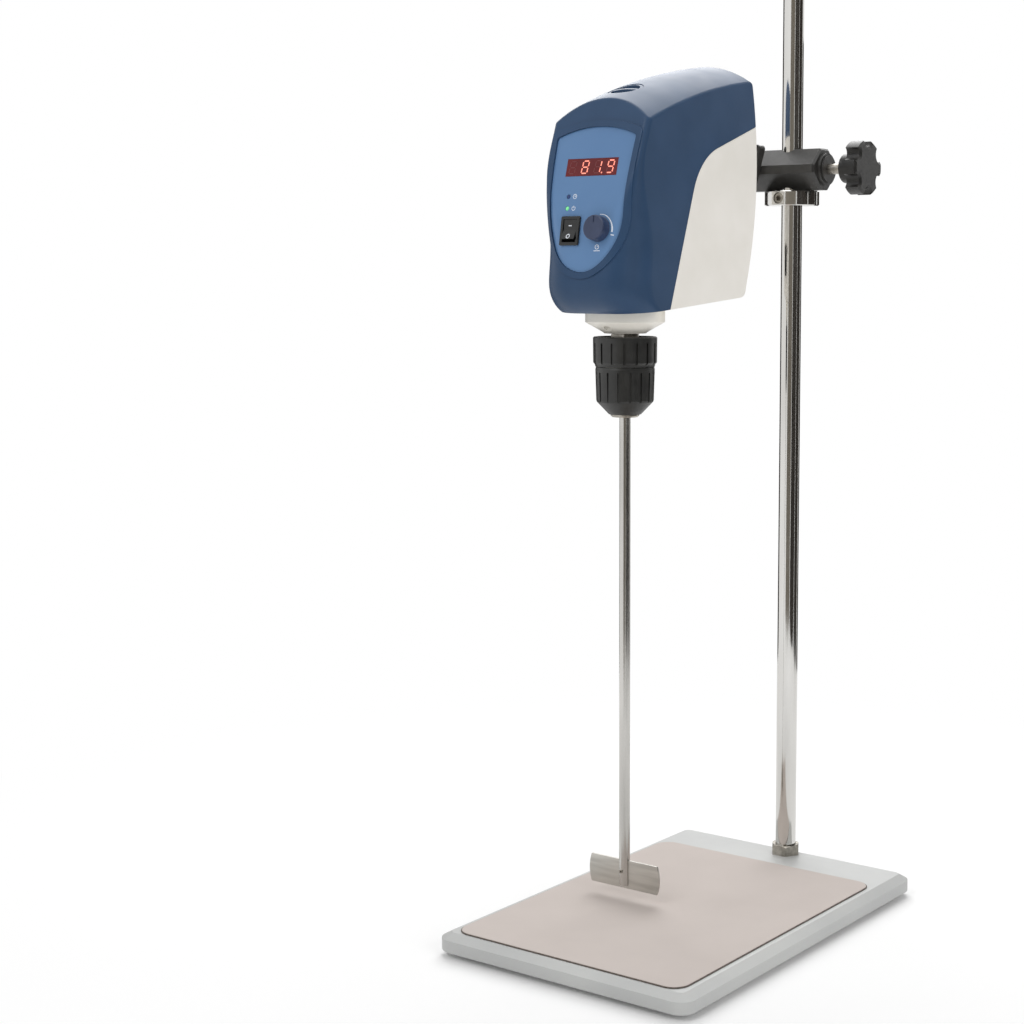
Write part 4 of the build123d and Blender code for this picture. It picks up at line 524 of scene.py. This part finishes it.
# ---------------------------------------------------------------- bench
# Flat pale bench top in matt paint, large enough to run out of sight.
# Away from the stirrer it fades to plain white, so it ends in no horizon.
bench_half = 6.0
fade_start, fade_end = 0.30, 0.75     # metres from the middle of the base plate
camera_lift = 0.06
bench = bpy.data.materials.new("bench")
bench.use_nodes = True
tree = bench.node_tree
tree.nodes.clear()
matt = tree.nodes.new("ShaderNodeBsdfDiffuse")
matt.inputs["Color"].default_value = (0.95, 0.95, 0.95, 1)
glow = tree.nodes.new("ShaderNodeEmission")
seen = tree.nodes.new("ShaderNodeLightPath")
lift = tree.nodes.new("ShaderNodeMath")
lift.operation = "MULTIPLY"
lift.inputs[1].default_value = camera_lift
both = tree.nodes.new("ShaderNodeAddShader")
out = tree.nodes.new("ShaderNodeOutputMaterial")
tree.links.new(seen.outputs["Is Camera Ray"], lift.inputs[0])
tree.links.new(lift.outputs["Value"], glow.inputs["Strength"])
tree.links.new(matt.outputs["BSDF"], both.inputs[0])
tree.links.new(glow.outputs["Emission"], both.inputs[1])
place = tree.nodes.new("ShaderNodeNewGeometry")
reach = tree.nodes.new("ShaderNodeVectorMath")
reach.operation = "LENGTH"
fade = tree.nodes.new("ShaderNodeMapRange")
fade.interpolation_type = "SMOOTHSTEP"
fade.inputs["From Min"].default_value = fade_start
fade.inputs["From Max"].default_value = fade_end
paper = tree.nodes.new("ShaderNodeEmission")
blend = tree.nodes.new("ShaderNodeMixShader")
tree.links.new(place.outputs["Position"], reach.inputs[0])
tree.links.new(reach.outputs["Value"], fade.inputs["Value"])
tree.links.new(fade.outputs["Result"], blend.inputs["Fac"])
tree.links.new(both.outputs["Shader"], blend.inputs[1])
tree.links.new(paper.outputs["Emission"], blend.inputs[2])
tree.links.new(blend.outputs["Shader"], out.inputs["Surface"])

top = bmesh.new()
bmesh.ops.create_grid(top, x_segments=2, y_segments=2, size=bench_half)
mesh = bpy.data.meshes.new("bench_top")
top.to_mesh(mesh)
top.free()
mesh.materials.append(bench)
bench_top = bpy.data.objects.new("bench_top", mesh)
bpy.context.scene.collection.objects.link(bench_top)

# ---------------------------------------------------------------- studio
# Room that lights softly but looks full white, and four square lamp panels: in front, above, right, behind.
# Five tall cards stand round the stirrer, dark brown and one mid grey, for the bright steel to mirror.
# They throw no shadow, take no part in the diffuse light and are seen only as reflections.
room_light, room_seen = 0.36, 1.0
world = bpy.data.worlds.new("studio")
bpy.context.scene.world = world
world.use_nodes = True
tree = world.node_tree
tree.nodes.clear()
soft = tree.nodes.new("ShaderNodeBackground")
soft.inputs["Color"].default_value = (1, 1, 1, 1)
soft.inputs["Strength"].default_value = room_light
white = tree.nodes.new("ShaderNodeBackground")
white.inputs["Color"].default_value = (1, 1, 1, 1)
white.inputs["Strength"].default_value = room_seen
seen = tree.nodes.new("ShaderNodeLightPath")
direct = tree.nodes.new("ShaderNodeMath")
direct.operation = "MAXIMUM"
any_ray = tree.nodes.new("ShaderNodeMath")
any_ray.operation = "MAXIMUM"
choose = tree.nodes.new("ShaderNodeMixShader")
out = tree.nodes.new("ShaderNodeOutputWorld")
tree.links.new(seen.outputs["Is Camera Ray"], direct.inputs[0])
tree.links.new(seen.outputs["Is Glossy Ray"], direct.inputs[1])
tree.links.new(direct.outputs["Value"], any_ray.inputs[0])
tree.links.new(seen.outputs["Is Transmission Ray"], any_ray.inputs[1])
tree.links.new(any_ray.outputs["Value"], choose.inputs["Fac"])
tree.links.new(soft.outputs["Background"], choose.inputs[1])
tree.links.new(white.outputs["Background"], choose.inputs[2])
tree.links.new(choose.outputs["Shader"], out.inputs["Surface"])


def softbox(name, place, aim, size, power):
    """Square lamp panel at a place, turned to its aim."""
    light = bpy.data.lights.new(name, "AREA")
    light.size = size
    light.energy = power
    lamp = bpy.data.objects.new(name, light)
    lamp.location = place
    lamp.rotation_euler = (Vector(aim) - Vector(place)).to_track_quat("-Z", "Y").to_euler()
    bpy.context.scene.collection.objects.link(lamp)


# name, place, aim, size in metres and power in watts
softbox("key", (-0.3, -1.9, 2.0), (0, 0, 0.4), 1.1, 13)
softbox("overhead", (0.2, 0.2, 2.2), (0, 0, 0.3), 1.4, 6)
softbox("fill", (1.8, -0.5, 1.0), (0, 0, 0.4), 1.2, 9)
softbox("rear", (-0.83, 1.22, 1.82), (0, 0, 0.6), 1.8, 31)

flag_paint, tree, shader = finish("flag_paint", 0.9)
tint(tree, shader, grain(tree, 0.01), srgb(30, 26, 22), srgb(44, 38, 32))
card_paint, tree, shader = finish("card_paint", 0.9)
tint(tree, shader, grain(tree, 0.01), srgb(112, 106, 97), srgb(126, 120, 110))
flag_distance, flag_lift = 0.9, 0.002
# turn from the front towards the right in degrees, width and height in metres, paint
flags = ((28, 0.84, 1.2, card_paint), (82, 0.85, 1.2, flag_paint), (128, 0.58, 1.2, flag_paint),
         (178, 0.45, 0.74, flag_paint), (244, 0.55, 0.90, flag_paint))
for number, (turn, width, tall, paint) in enumerate(flags):
    away = Vector((sin(radians(turn)), -cos(radians(turn)), 0))
    along = Vector((away.y, -away.x, 0)) * width / 2
    foot = away * flag_distance
    card = bmesh.new()
    corners = [card.verts.new(foot + side * along + Vector((0, 0, height))) for side, height in
               ((-1, flag_lift), (1, flag_lift), (1, tall), (-1, tall))]
    card.faces.new(corners)
    mesh = bpy.data.meshes.new("flag_%d" % number)
    card.to_mesh(mesh)
    card.free()
    mesh.materials.append(paint)
    flag = bpy.data.objects.new("flag_%d" % number, mesh)
    bpy.context.scene.collection.objects.link(flag)
    flag.visible_camera = False
    flag.visible_diffuse = False
    flag.visible_shadow = False

# ---------------------------------------------------------------- camera
# Short telephoto lens with its picture shifted left and down, a little above half the stand's height.
# It stands in front of the stirrer, to the right, and looks slightly down at it.
look_down, look_left = 5.671, 36.045     # degrees
lens = bpy.data.cameras.new("camera")
lens.lens = 66.73
lens.sensor_width = 36.0
lens.shift_x = -0.0859
lens.shift_y = -0.0508
lens.clip_start = 0.05
lens.clip_end = 50.0
camera = bpy.data.objects.new("camera", lens)
camera.location = (0.7454, -1.1305, 0.4761)
camera.rotation_euler = (radians(90 - look_down), 0, radians(look_left))
bpy.context.scene.collection.objects.link(camera)
bpy.context.scene.camera = camera
bpy.context.scene.view_settings.view_transform = "Standard"
